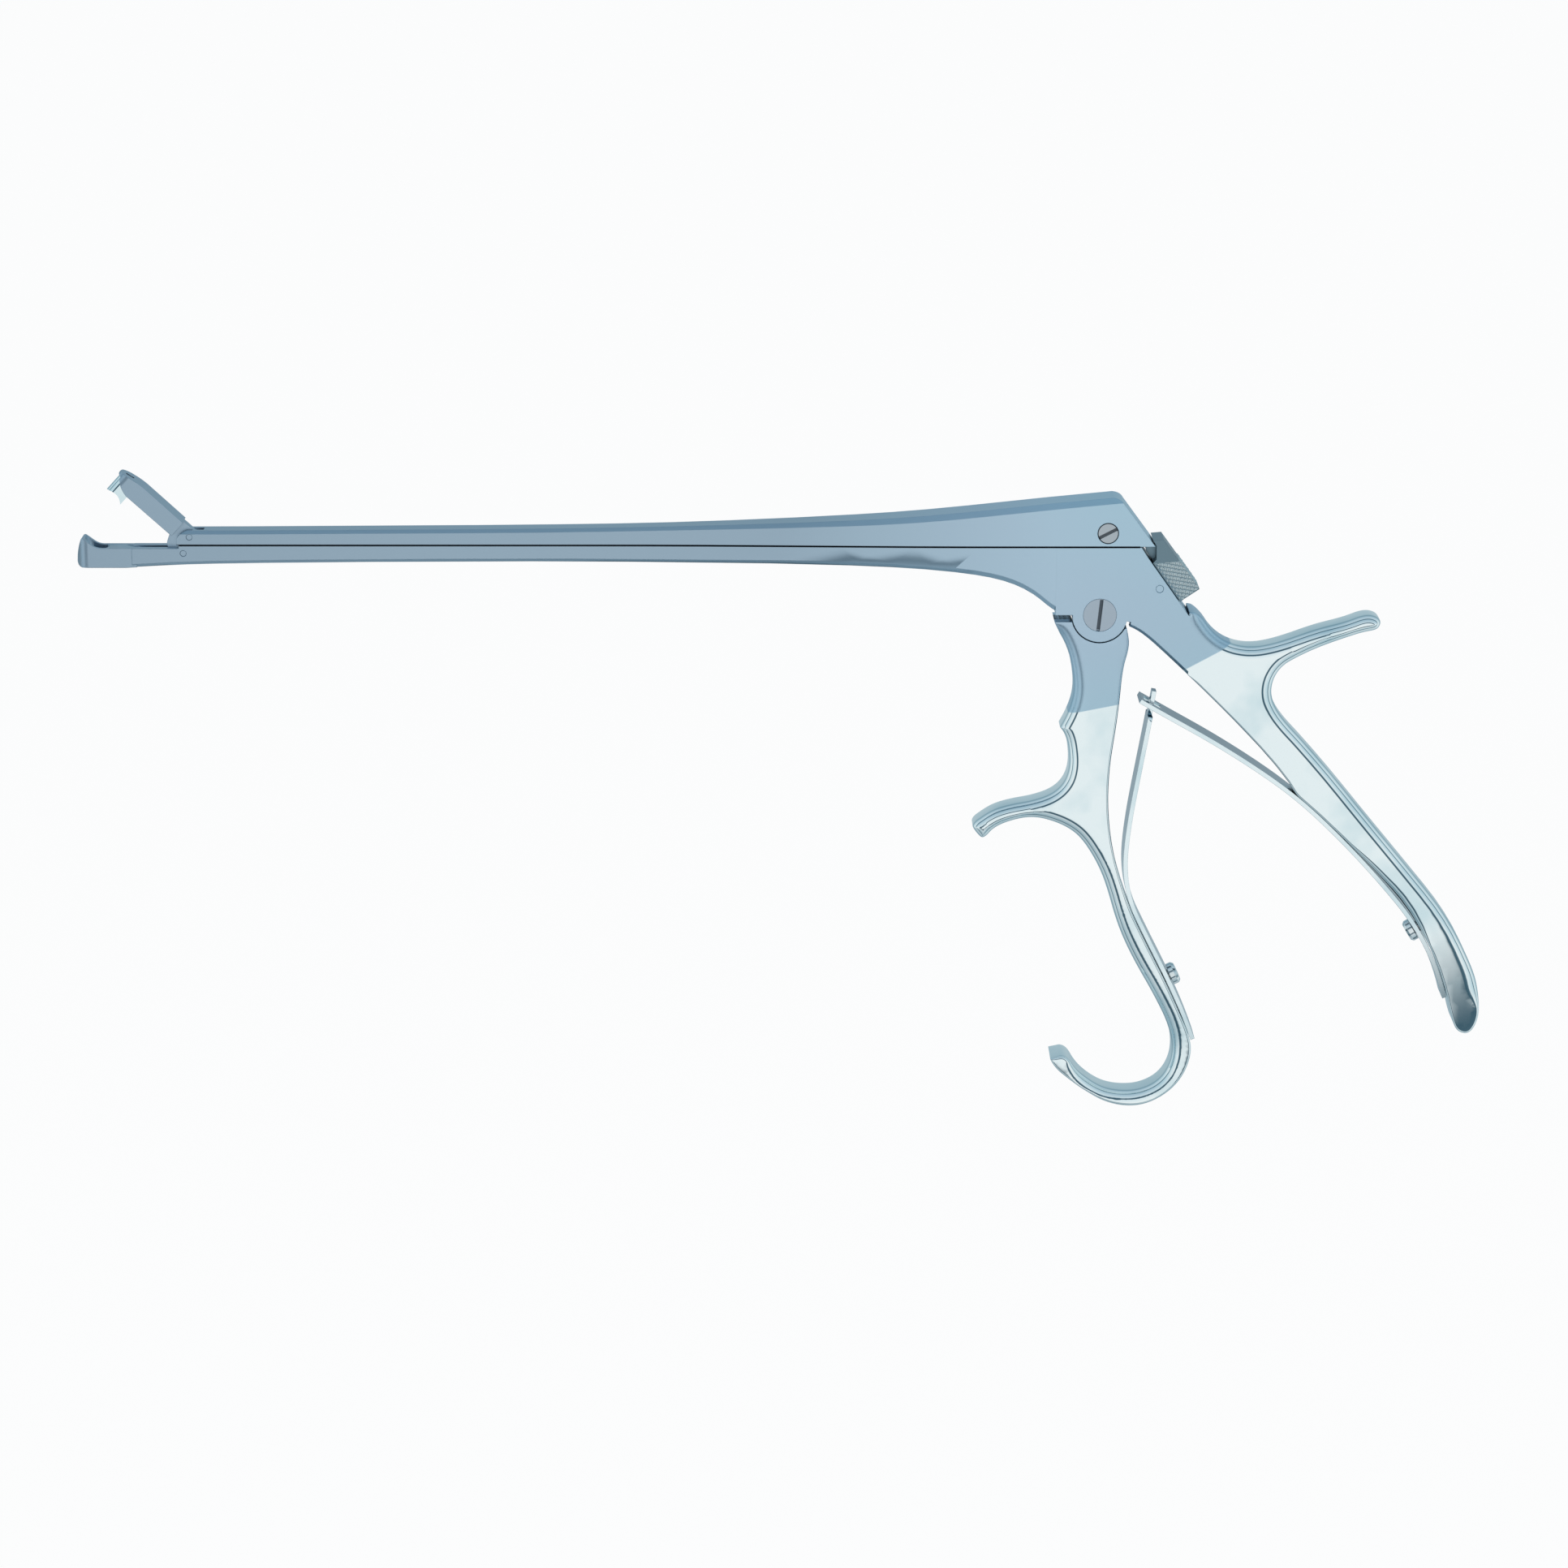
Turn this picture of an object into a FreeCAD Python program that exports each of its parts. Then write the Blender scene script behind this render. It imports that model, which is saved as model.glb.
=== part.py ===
import FreeCAD, Part
import math
import os
import Sketcher

# Biopsy forceps of the sliding-bar kind, open. Millimetres, +X from the jaws to the
# hand, +Y away from the viewer, +Z up. The origin is the seat of the hand's web: the
# deepest point of the curve under the thumb rest, in the middle plane.
# One forging carries the lower shank with its sample basket, the body and the rear
# handle. The slide bar lies on the shank, the trigger's lug pushes it forward, and it
# turns the upper jaw down into the basket.

V = FreeCAD.Vector
doc = FreeCAD.newDocument("BiopsyForceps")
sheet = doc.addObject("Spreadsheet::Sheet", "Sizes")

sizes = [
    ("shank_length", 185.5, "jaw pivot to trigger pivot"),
    ("pivot_back", 35.4, "trigger pivot ahead of the web seat"),
    ("pivot_height", 17.0, "trigger pivot above the web seat"),
    ("seam_height", 31.0, "top of the shank above the web seat"),
    ("bar_gap", 0.15, "running gap under the slide bar"),
    ("body_width", 9.0, "width of body and handles"),
    ("shank_width", 5.5, "width of shank and slide bar at the front"),
    ("jaw_width", 5.2, "width of both jaws"),
    ("edge_bevel", 1.1, "bevel along bar and shank"),
    ("edge_break", 0.6, "broken edges along the handles"),
    ("bar_screw_height", 2.9, "drive screw above the seam"),
    ("drive_lead", 1.4, "drive screw behind the pivot, trigger open"),
    ("drive_lag", 1.2, "drive screw ahead of the pivot, trigger squeezed"),
    ("shoulder_radius", 5.6, "round end of the body between the trigger's shoulders"),
    ("shoulder_gap", 0.2, "gap between body and trigger shoulders"),
    ("lug_thickness", 4.0, "trigger lug"),
    ("side_play", 0.1, "play beside a lug, tang, tongue or key"),
    ("pin_play", 0.05, "radial play of a turning or sliding pin"),
    ("seat_play", 0.03, "radial play of a seated screw or pin"),
    ("leaf_play", 0.15, "between a leaf spring and its handle or screw head"),
    ("pivot_head", 6.7, "head of the trigger pivot screw"),
    ("pivot_shank", 3.6, "shank of the trigger pivot screw"),
    ("bar_screw_head", 4.25, "head of the slide bar screw"),
    ("bar_screw_shank", 2.6, "shank of the slide bar screw"),
    ("head_depth", 1.2, "depth of both screw heads"),
    ("screw_slot", 0.65, "driver slot of the flush screws"),
    ("jaw_pivot_drop", 1.6, "jaw pivot below the seam"),
    ("jaw_swing", 42.5, "opening angle of the upper jaw"),
    ("jaw_pin", 1.2, "jaw pivot pin and drive pin"),
    ("tang_thickness", 2.0, "tang of the upper jaw"),
    ("deck_drop", 0.6, "lower jaw's deck below the seam"),
    ("jaw_gap", 0.12, "gap between the closed jaws"),
    ("basket_floor", 1.1, "floor of the sample basket"),
    ("basket_width", 3.9, "sample basket across"),
    ("cutter_gap", 0.2, "ring cutter inside the basket"),
    ("cutter_wall", 0.45, "wall of the ring cutter"),
    ("key_neck", 1.6, "neck of the bar's guide keys"),
    ("key_head", 3.0, "head of the bar's guide keys"),
    ("key_length", 4.0, "guide keys along the bar"),
    ("key_step", 0.7, "height of key neck and of key head"),
    ("leaf_thickness", 0.9, "leaf springs"),
    ("leaf_width", 7.0, "leaf springs"),
    ("leaf_tongue", 2.6, "tongue of the front leaf spring"),
    ("leaf_screw_head", 4.6, "heads of the leaf spring screws"),
    ("leaf_screw_height", 1.5, "heads of the leaf spring screws"),
    ("leaf_screw_shank", 2.4, "shanks of the leaf spring screws"),
    ("leaf_screw_depth", 3.0, "leaf spring screws inside the handles"),
    ("catch_width", 7.8, "release slide across"),
    ("catch_tongue", 2.4, "tongue of the release slide"),
    ("catch_travel", 2.5, "travel of the release slide"),
    ("catch_pin", 1.5, "pin of the release slide"),
    ("catch_wire", 0.3, "wire of the release spring"),
    ("catch_coil", 1.7, "outer diameter of the release spring"),
]
for row, (name, value, note) in enumerate(sizes, start=1):
    sheet.set("A%d" % row, note)
    sheet.set("B%d" % row, str(value))
    sheet.setAlias("B%d" % row, name)
doc.recompute()


def size(name):
    return float(getattr(sheet, name))


pivot_x = -size("pivot_back")
pivot_z = size("pivot_height")
seam = size("seam_height")
bar_under = seam + size("bar_gap")
jaw_x = pivot_x - size("shank_length")
jaw_z = seam - size("jaw_pivot_drop")
deck = seam - size("deck_drop")
stroke = size("drive_lead") + size("drive_lag")
drive_x = pivot_x + size("drive_lead")
drive_z = seam + size("bar_screw_height")
drive_rise = drive_z - pivot_z
half_swing = math.radians(size("jaw_swing") / 2)
jaw_pin_rise = stroke / 2 / math.tan(half_swing)
bar_front = jaw_x - stroke / 2
half_body = size("body_width") / 2
half_shank = size("shank_width") / 2
half_jaw = size("jaw_width") / 2
sink_depth = "2 * (Sizes.head_depth + 2 * Sizes.seat_play)"
tang_slot = "Sizes.tang_thickness + 2 * Sizes.side_play"
lug_slot = "Sizes.lug_thickness + 2 * Sizes.side_play"


def new_body(label):
    body = doc.addObject("PartDesign::Body", label)
    body.Label = label
    return body


def new_sketch(body, role, name, level=None):
    """A sketch on one of the body's origin planes, moved out by an expression."""
    sketch = body.newObject("Sketcher::SketchObject", body.Label + "_" + name)
    plane = [f for f in body.Origin.OriginFeatures if f.Role == role][0]
    sketch.AttachmentSupport = [(plane, "")]
    sketch.MapMode = "FlatFace"
    if level is not None:
        sketch.setExpression("AttachmentOffset.Base.z", level)
    return sketch


def on_circle(centre, radius, degrees):
    turn = math.radians(degrees)
    return (centre[0] + radius * math.cos(turn), centre[1] + radius * math.sin(turn))


arc_error = 0.04


def draw(sketch, start, *steps):
    """A closed outline: a point is reached by a line, ("arc", middle, end) by an arc
    and ("curve", points) by tangent arcs along a smooth curve through the points."""
    here = start
    for step in steps:
        if step[0] == "arc":
            curve = Part.Arc(V(*here), V(*step[1]), V(*step[2]))
            here = step[2]
        elif step[0] == "curve":
            spline = Part.BSplineCurve()
            spline.interpolate([V(*here)] + [V(*point) for point in step[1]])
            here = step[1][-1]
            curve = spline.toBiArcs(arc_error)
        else:
            curve = Part.LineSegment(V(*here), V(*step))
            here = step
        sketch.addGeometry(curve)
    if (V(*here) - V(*start)).Length > 1e-6:
        sketch.addGeometry(Part.LineSegment(V(*here), V(*start)))
    return sketch


def circle(sketch, centre, diameter):
    """A circle at a worked-out place whose diameter is an expression."""
    index = sketch.addGeometry(Part.Circle(V(*centre), V(0, 0, 1), 1.0))
    for kind, at in (("DistanceX", centre[0]), ("DistanceY", centre[1])):
        sketch.addConstraint(Sketcher.Constraint(kind, -1, 1, index, 3, at))
    count = sketch.addConstraint(Sketcher.Constraint("Diameter", index, 2.0))
    sketch.setExpression("Constraints[%d]" % count, diameter)
    return sketch


def pad(body, sketch, length, name):
    feature = body.newObject("PartDesign::Pad", body.Label + "_" + name)
    feature.Profile = sketch
    feature.SideType = "Symmetric"
    feature.setExpression("Length", length)
    sketch.Visibility = False
    doc.recompute()
    return feature


def pocket(body, sketch, name, length=None, side="Symmetric"):
    """A pocket through all, or of the given length. It must remove material."""
    before = body.Shape.Volume
    feature = body.newObject("PartDesign::Pocket", body.Label + "_" + name)
    feature.Profile = sketch
    feature.SideType = side
    if length is None:
        feature.Type = "ThroughAll"
    else:
        feature.setExpression("Length", length)
    sketch.Visibility = False
    doc.recompute()
    if not body.Shape.Volume < before - 1e-4:
        raise ValueError(feature.Label + " removes nothing")
    return feature


def break_edges(body, name, test):
    """Chamfers the edges of both flat sides where the test accepts an edge's middle."""
    base = body.Tip
    names = []
    for i, edge in enumerate(base.Shape.Edges, start=1):
        middle = edge.valueAt((edge.FirstParameter + edge.LastParameter) / 2)
        on_side = abs(abs(middle.y) - half_body) < 1e-6 and edge.BoundBox.YLength < 1e-6
        if on_side and test(middle):
            names.append("Edge%d" % i)
    feature = body.newObject("PartDesign::Chamfer", body.Label + "_" + name)
    feature.Base = (base, names)
    feature.setExpression("Size", "Sizes.edge_break")
    doc.recompute()
    return feature


def width_at(x):
    """Half the width of body and bar: full at the body, narrow along the shank."""
    taper_back, taper_front = -58.0, -132.0
    way = min(max((taper_back - x) / (taper_back - taper_front), 0.0), 1.0)
    ease = way * way * (3 - 2 * way)
    return half_body - ease * (half_body - half_shank)


def loft(body, stations, name):
    """A loft along the shank. Each station is (x, edge height, bevel height, half width,
    bevel) and its section a box whose outer two corners are bevelled."""
    sections = []
    for count, (x, inner, outer, half, bevel) in enumerate(stations, start=1):
        sketch = new_sketch(body, "YZ_Plane", "%s_%d" % (name, count), "%.4f" % x)
        turn = bevel if outer < inner else -bevel
        draw(sketch, (half, inner), (half, outer + turn), (half - bevel, outer),
             (bevel - half, outer), (-half, outer + turn), (-half, inner))
        sections.append(sketch)
    feature = body.newObject("PartDesign::AdditiveLoft", body.Label + "_" + name)
    feature.Profile = sections[0]
    feature.Sections = sections[1:]
    doc.recompute()
    return feature


# Lines that several pieces share

# height of the forging's underside along the shank and of the bar's top, from the
# body to the jaws
bevel = size("edge_bevel")
front_bevel = 0.6 * bevel
under_line = [
    (-43.4, seam - 13.5),
    (-45.0, seam - 12.9),
    (-47.4, seam - 11),
    (-50.9, seam - 8.7),
    (-56.0, seam - 6.8),
    (-62.5, seam - 5.6),
    (-76.0, seam - 4.4),
    (-90.0, seam - 3.9),
    (-104.0, seam - 3.65),
    (-119.0, seam - 3.55),
    (-134.0, seam - 3.4),
    (jaw_x + 54.8, seam - 3.4),
    (jaw_x + 27.0, seam - 3.55),
    (jaw_x + 8.0, seam - 3.8),
    (jaw_x - 1.3, seam - 4.05),
    (jaw_x - 6.2, seam - 4.3),
    (jaw_x - 10.4, seam - 4.52),
]
top_line = [
    (-20.0, seam + 11.4),
    (-41.3, seam + 9.25),
    (-57.1, seam + 7.6),
    (-76.0, seam + 5.85),
    (-90.0, seam + 5.05),
    (-104.0, seam + 4.45),
    (-119.0, seam + 3.95),
    (-134.0, seam + 3.6),
    (jaw_x + 54.8, seam + 3.25),
    (jaw_x + 27.0, seam + 3.1),
    (jaw_x + 8.0, seam + 3),
    (bar_front, seam + 3),
]


# the lofts run a little past the planes that are cut afterwards
skin = 0.01
spare = 0.3


def stations(line, inner):
    """Sections along a height line, with the bevel fading to the front."""
    made = []
    for x, outer in line:
        half = width_at(x) - skin
        fade = (half - half_shank) / (half_body - half_shank)
        made.append((x, inner, outer, half, front_bevel + fade * (bevel - front_bevel)))
    return made


# lower face of the rear leaf spring where it lies on the rear handle
rear_leaf_seat = [
    (5.3, -22.1),
    (13.3, -29.5),
    (21.2, -37.8),
    (26.5, -44.1),
    (31.0, -50.4),
    (34.4, -57.1),
    (36.9, -64.6),
]
rear_leaf_free = [(-27.0, -1.6), (-23.0, -3.9), (-9.6, -11.7), (-2.1, -16.6)]
# rear face of the front leaf spring where it lies on the trigger
front_leaf_seat = [
    (-27.7, -43.0),
    (-24.5, -50.5),
    (-19.5, -60.5),
    (-16.6, -67.0),
    (-14.2, -73.3),
]
front_leaf_free = [(-24.2, -4.5), (-26.3, -16.5), (-28.4, -30.0), (-28.7, -37.0)]


def offset(points, distance):
    """The same open line moved to its left, seen with x to the right and z up."""
    moved = []
    for i, (x, z) in enumerate(points):
        a = points[max(i - 1, 0)]
        b = points[min(i + 1, len(points) - 1)]
        run = math.hypot(b[0] - a[0], b[1] - a[1])
        moved.append((x - distance * (b[1] - a[1]) / run, z + distance * (b[0] - a[0]) / run))
    return moved


leaf = size("leaf_thickness")
seat_gap = size("leaf_play")
# the spring's other face touches the handle
rear_handle_line = offset(rear_leaf_free + rear_leaf_seat, leaf + seat_gap)
rear_handle_line = rear_handle_line[len(rear_leaf_free):]
trigger_back_line = offset(front_leaf_free + front_leaf_seat, -leaf - seat_gap)
trigger_back_line = trigger_back_line[len(front_leaf_free):]

# rear slope of the body, which carries the release slide
slope_top = (-25.8, seam - 2.2)
slope_end = (-17.3, 16.8)
slope_run = math.hypot(slope_end[0] - slope_top[0], slope_end[1] - slope_top[1])
slope_x = (slope_end[0] - slope_top[0]) / slope_run
slope_z = (slope_end[1] - slope_top[1]) / slope_run


def on_slope(along, out):
    """A point by its way down the slope from the top and its height over it."""
    return (
        slope_top[0] + slope_x * along - slope_z * out,
        slope_top[1] + slope_z * along + slope_x * out,
    )


# Main frame: lower shank with basket, body and rear handle, one forging

frame = new_body("main_frame")
pivot = (pivot_x, pivot_z)
round_end = size("shoulder_radius")
relief = round_end + 0.9
notch = on_circle(pivot, round_end, 191)
jaw_tip = jaw_x - 21.7
handle = new_sketch(frame, "XZ_Plane", "handle")
draw(
    handle,
    (-44.4, seam + 2 * spare),
    (-44.4, pivot_z),
    (notch[0], pivot_z),
    notch,
    ("arc", on_circle(pivot, round_end, 260), on_circle(pivot, round_end, 347)),
    on_circle(pivot, relief, 347),
    ("arc", on_circle(pivot, relief, 342), on_circle(pivot, relief, 338)),
    ("curve",
     [(-28.0, 13.9), (-23.9, 10.7), (-9.7, -3.0), (-1.6, -11.5), rear_handle_line[0]]),
    ("curve",
     rear_handle_line[1:]
     + [(39.2, -69.4), (40.3, -71.4), (42.2, -71.9), (43.8, -70.2), (44.5, -66.0),
        (44.0, -61.5), (42.2, -56.7), (39.0, -50.2), (33.2, -41.8), (24.2, -30.8),
        (12.9, -17.0), (4.7, -7.6), (1.3, -3.4), (0.0, 0.0), (0.2, 2.6), (1.3, 4.9),
        (3.1, 6.7), (5.4, 8.0), (9.8, 10.0), (15.0, 11.9), (19.4, 13.2), (21.3, 13.9),
        (21.7, 15.3), (20.4, 16.4), (15.6, 15.6), (10.3, 14.1), (4.9, 12.3), (0.0, 10.7),
        (-4.0, 10.05), (-8.7, 10.8), (-12.4, 13.4), (-14.6, 16.2), (-16.4, 17.5)]),
    (-17.3, 17.6),
    slope_end,
    slope_top,
    (-27.2, seam),
    (-27.2, seam + 2 * spare),
)
pad(frame, handle, "Sizes.body_width", "forging")
# the handle's edges are broken behind the body, past a line across its root
break_edges(frame, "handle_edges", lambda m: (m.x + 18.2) * 5.2 > (m.z - 5.5) * 9.5)

loft(frame, stations(under_line, seam + spare), "shank")
sketch = new_sketch(frame, "XZ_Plane", "seam")
draw(sketch, (-20.0, seam), (-20.0, seam + 3), (jaw_x - 20, seam + 3), (jaw_x - 20, seam))
pocket(frame, sketch, "seam_cut")

# deck of the lower jaw, a little under the seam
sketch = new_sketch(frame, "XZ_Plane", "deck")
draw(sketch, (bar_front + 0.4, deck), (bar_front + 0.4, seam + 2),
     (jaw_tip - 2, seam + 2), (jaw_tip - 2, deck))
pocket(frame, sketch, "deck_cut")

# lower jaw: a block with a rising lip, rounded in plan at the front
sketch = new_sketch(frame, "XZ_Plane", "jaw_side")
draw(
    sketch,
    (jaw_x - 9.4, deck),
    (jaw_x - 16.6, deck),
    ("curve",
     [(jaw_x - 17.6, deck + 0.2), (jaw_x - 18.8, deck + 0.85), (jaw_x - 20.15, deck + 1.9)]),
    ("arc", (jaw_x - 20.5, deck + 1.95), (jaw_x - 20.75, deck + 1.7)),
    ("curve", [(jaw_tip + 0.35, deck - 0.3), (jaw_tip, deck - 2.8)]),
    ("arc", (jaw_tip + 0.4, deck - 3.65), (jaw_tip + 1.4, deck - 4.0)),
    (jaw_x - 11.6, deck - 4.0),
    (jaw_x - 9.4, deck - 3.86),
)
pad(frame, sketch, "Sizes.jaw_width", "lower_jaw")


def round_front(body, name, level, tip, back):
    """Cuts the corners beside a round front whose tip and root are given along X."""
    sketch = new_sketch(body, "XY_Plane", name, level)
    draw(
        sketch,
        (back, half_jaw),
        ("arc", (tip, 0), (back, -half_jaw)),
        (back, -half_shank - 1),
        (tip - 2, -half_shank - 1),
        (tip - 2, half_shank + 1),
        (back, half_shank + 1),
    )
    return pocket(body, sketch, name + "_cut", "30")


round_front(frame, "front_plan", "Sizes.seam_height", jaw_tip - 0.05, jaw_x - 19.3)

# basket with a round front, open at the top
basket_front = jaw_x - 20.15
basket_back = jaw_x - 15.7
half_basket = size("basket_width") / 2
sketch = new_sketch(frame, "XY_Plane", "basket", "Sizes.seam_height")
draw(
    sketch,
    (basket_back, half_basket),
    (basket_front + 1.5, half_basket),
    ("arc", (basket_front, 0), (basket_front + 1.5, -half_basket)),
    (basket_back, -half_basket),
    ("arc", (basket_back + 0.5, 0), (basket_back, half_basket)),
)
basket_depth = "Sizes.deck_drop + 4 - Sizes.basket_floor"
pocket(frame, sketch, "basket_hollow", "2 * (%s)" % basket_depth)

# slit for the jaw's tang, with the shallow run-out of the round cutter that made it
sketch = new_sketch(frame, "XZ_Plane", "tang_slit")
slit_floor = jaw_z - 1.55
draw(
    sketch,
    (jaw_x + 2.9, seam + 1),
    (jaw_x - 8.1, seam + 1),
    (jaw_x - 8.1, deck - 0.9),
    ("arc", (jaw_x - 6.0, slit_floor + 0.5), (jaw_x - 3.8, slit_floor)),
    (jaw_x + 2.9, slit_floor),
)
pocket(frame, sketch, "tang_slit_cut", tang_slot)
sketch = new_sketch(frame, "XZ_Plane", "run_out")
draw(
    sketch,
    (jaw_x - 7.9, deck + 0.5),
    (jaw_x - 11.9, deck + 0.5),
    (jaw_x - 11.9, deck),
    ("arc", (jaw_x - 10.0, deck - 0.25), (jaw_x - 7.9, deck - 0.9)),
)
pocket(frame, sketch, "run_out_cut", tang_slot)
sketch = circle(new_sketch(frame, "XZ_Plane", "jaw_pin_hole"), (jaw_x, jaw_z),
                "Sizes.jaw_pin + 2 * Sizes.seat_play")
pocket(frame, sketch, "jaw_pin_hole_cut")

# slot for the trigger's lug, open at the bottom and towards the slide bar
slot_front, slot_back = 5.9, 6.3
sketch = new_sketch(frame, "XZ_Plane", "lug_slot")
draw(
    sketch,
    (pivot_x - slot_front, seam + 1),
    (pivot_x - slot_front, pivot_z - 8),
    (pivot_x + slot_back, pivot_z - 8),
    (pivot_x + slot_back, seam + 1),
)
pocket(frame, sketch, "lug_slot_cut", lug_slot)
sketch = circle(new_sketch(frame, "XZ_Plane", "pivot_hole"), pivot,
                "Sizes.pivot_shank + 2 * Sizes.seat_play")
pocket(frame, sketch, "pivot_hole_cut")
sketch = circle(new_sketch(frame, "XZ_Plane", "pivot_sink", "Sizes.body_width / 2"), pivot,
                "Sizes.pivot_head + 2 * Sizes.seat_play")
pocket(frame, sketch, "pivot_sink_cut", sink_depth)

# keyways for the bar's two guide keys, each with its entry window behind it
key_fronts = (jaw_x + 16.0, -104.0)
key_run = size("key_length") + stroke + 0.6
key_play = size("side_play")
neck_depth = "Sizes.key_step - Sizes.bar_gap - Sizes.side_play"
head_level = "Sizes.seam_height - (%s)" % neck_depth
for count, front in enumerate(key_fronts, start=1):
    start = front - stroke - 0.3
    window = start + key_run
    end = window + size("key_length") + 0.6
    half_neck = size("key_neck") / 2 + key_play
    half_head = size("key_head") / 2 + key_play
    sketch = new_sketch(frame, "XY_Plane", "keyway_%d" % count, "Sizes.seam_height")
    draw(sketch, (start, half_neck), (window, half_neck), (window, half_head), (end, half_head),
         (end, -half_head), (window, -half_head), (window, -half_neck), (start, -half_neck))
    pocket(frame, sketch, "keyway_%d_neck" % count, "2 * (Sizes.key_step + Sizes.side_play)")
    sketch = new_sketch(frame, "XY_Plane", "keyway_%d_head" % count, head_level)
    draw(sketch, (start, half_head), (end, half_head), (end, -half_head), (start, -half_head))
    pocket(frame, sketch, "keyway_%d_hollow" % count, "Sizes.key_step + 2 * Sizes.side_play",
           "One side")

# slot for the release slide's tongue, down the rear slope, and the hole of its pin
catch_pin_at = on_slope(6.6, -1.7)
spring_floor = -3.3
sketch = new_sketch(frame, "XZ_Plane", "catch_slot")
draw(
    sketch,
    on_slope(1.4, 2.5),
    on_slope(1.4, spring_floor),
    on_slope(15.2, spring_floor),
    on_slope(15.2, 0.0),
    on_slope(14.3, 2.5),
)
pocket(frame, sketch, "catch_slot_cut", "Sizes.catch_tongue + 2 * Sizes.side_play")
sketch = circle(new_sketch(frame, "XZ_Plane", "catch_pin_hole"), catch_pin_at,
                "Sizes.catch_pin + 2 * Sizes.seat_play")
pocket(frame, sketch, "catch_pin_hole_cut")


def leaf_screw_place(points, count, sign):
    """Where a leaf spring screw sits: a point of the line and its outward direction."""
    a, b = points[count - 1], points[count + 1]
    run = math.hypot(b[0] - a[0], b[1] - a[1])
    return points[count], (-sign * (b[1] - a[1]) / run, sign * (b[0] - a[0]) / run)


# the screws clamp the leaves; out points from the handle through the leaf
rear_screw, rear_out = leaf_screw_place(rear_leaf_seat, 4, -1)
front_screw, front_out = leaf_screw_place(front_leaf_seat, 2, 1)


def turned_cylinder(label, foot, out, start, length, diameter):
    """A Part cylinder along a direction in the middle plane, from foot + start."""
    item = doc.addObject("Part::Cylinder", label)
    item.Label = label
    item.setExpression("Radius", "(%s) / 2" % diameter)
    item.setExpression("Height", length)
    base = V(foot[0] + out[0] * start, 0, foot[1] + out[1] * start)
    item.Placement = FreeCAD.Placement(base, FreeCAD.Rotation(V(0, 0, 1), V(out[0], 0, out[1])))
    return item


def boolean(kind, label, base, tool):
    item = doc.addObject("Part::" + kind, label)
    item.Label = label
    item.Base = base
    item.Tool = tool
    return item


screw_depth = size("leaf_screw_depth")
bore = "Sizes.leaf_screw_shank + 2 * Sizes.seat_play"
bore_length = "Sizes.leaf_screw_depth + Sizes.leaf_thickness + 0.9"
rear_bore = turned_cylinder("rear_screw_bore", rear_screw, rear_out, -leaf - screw_depth - 0.3,
                            bore_length, bore)
main_frame = boolean("Cut", "main_frame", frame, rear_bore)
frame.Label = "main_frame_forging"
main_frame.Label = "main_frame"

# Slide bar with its two guide keys

bar = new_body("slide_bar")
loft(bar, stations(top_line, bar_under - spare), "bar")
sketch = new_sketch(bar, "XZ_Plane", "underside")
draw(sketch, (-10.0, bar_under), (bar_front - 10, bar_under),
     (bar_front - 10, bar_under - 3), (-10.0, bar_under - 3))
pocket(bar, sketch, "underside_cut")
sketch = new_sketch(bar, "XZ_Plane", "rear_end")
draw(
    sketch,
    (-24.4, bar_under - 1),
    (-24.4, bar_under),
    (-30.6, seam + 8.6),
    ("curve", [(-31.6, seam + 9.6), (-32.9, seam + 10.05), (-34.6, seam + 10.0)]),
    (-37.0, seam + 14.0),
    (-10.0, seam + 14.0),
    (-10.0, bar_under - 1),
)
pocket(bar, sketch, "rear_end_cut")
sketch = new_sketch(bar, "XZ_Plane", "front_end")
draw(
    sketch,
    (bar_front - 1, seam + 1.5),
    (bar_front, seam + 1.5),
    ("curve",
     [(bar_front + 0.6, seam + 2.2), (bar_front + 1.3, seam + 2.7),
      (bar_front + 3.4, seam + 3.05)]),
    (bar_front + 3.4, seam + 5.0),
    (bar_front - 1, seam + 5.0),
)
pocket(bar, sketch, "front_end_cut")
sketch = new_sketch(bar, "XZ_Plane", "tang_fork")
draw(sketch, (bar_front - 1, bar_under - 1), (bar_front + 5.4, bar_under - 1),
     (bar_front + 5.4, seam + 5.0), (bar_front - 1, seam + 5.0))
pocket(bar, sketch, "tang_fork_cut", tang_slot)
sketch = new_sketch(bar, "XZ_Plane", "lug_pocket")
draw(sketch, (drive_x - 3.7, bar_under - 1), (drive_x + 3.7, bar_under - 1),
     (drive_x + 3.7, drive_z + 3.3), (drive_x - 3.7, drive_z + 3.3))
pocket(bar, sketch, "lug_pocket_cut", lug_slot)
jaw_pin_x = jaw_x + stroke / 2
jaw_pin_z = jaw_z + jaw_pin_rise
sketch = circle(new_sketch(bar, "XZ_Plane", "drive_pin_hole"), (jaw_pin_x, jaw_pin_z),
                "Sizes.jaw_pin + 2 * Sizes.seat_play")
pocket(bar, sketch, "drive_pin_hole_cut")
sketch = circle(new_sketch(bar, "XZ_Plane", "screw_hole"), (drive_x, drive_z),
                "Sizes.bar_screw_shank + 2 * Sizes.seat_play")
pocket(bar, sketch, "screw_hole_cut")
sketch = circle(new_sketch(bar, "XZ_Plane", "screw_sink", "Sizes.body_width / 2"),
                (drive_x, drive_z), "Sizes.bar_screw_head + 2 * Sizes.seat_play")
pocket(bar, sketch, "screw_sink_cut", sink_depth)
neck_level = "Sizes.seam_height + Sizes.bar_gap - Sizes.key_step / 2 + 0.1"
key_head_level = "Sizes.seam_height + Sizes.bar_gap - 1.5 * Sizes.key_step"
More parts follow.
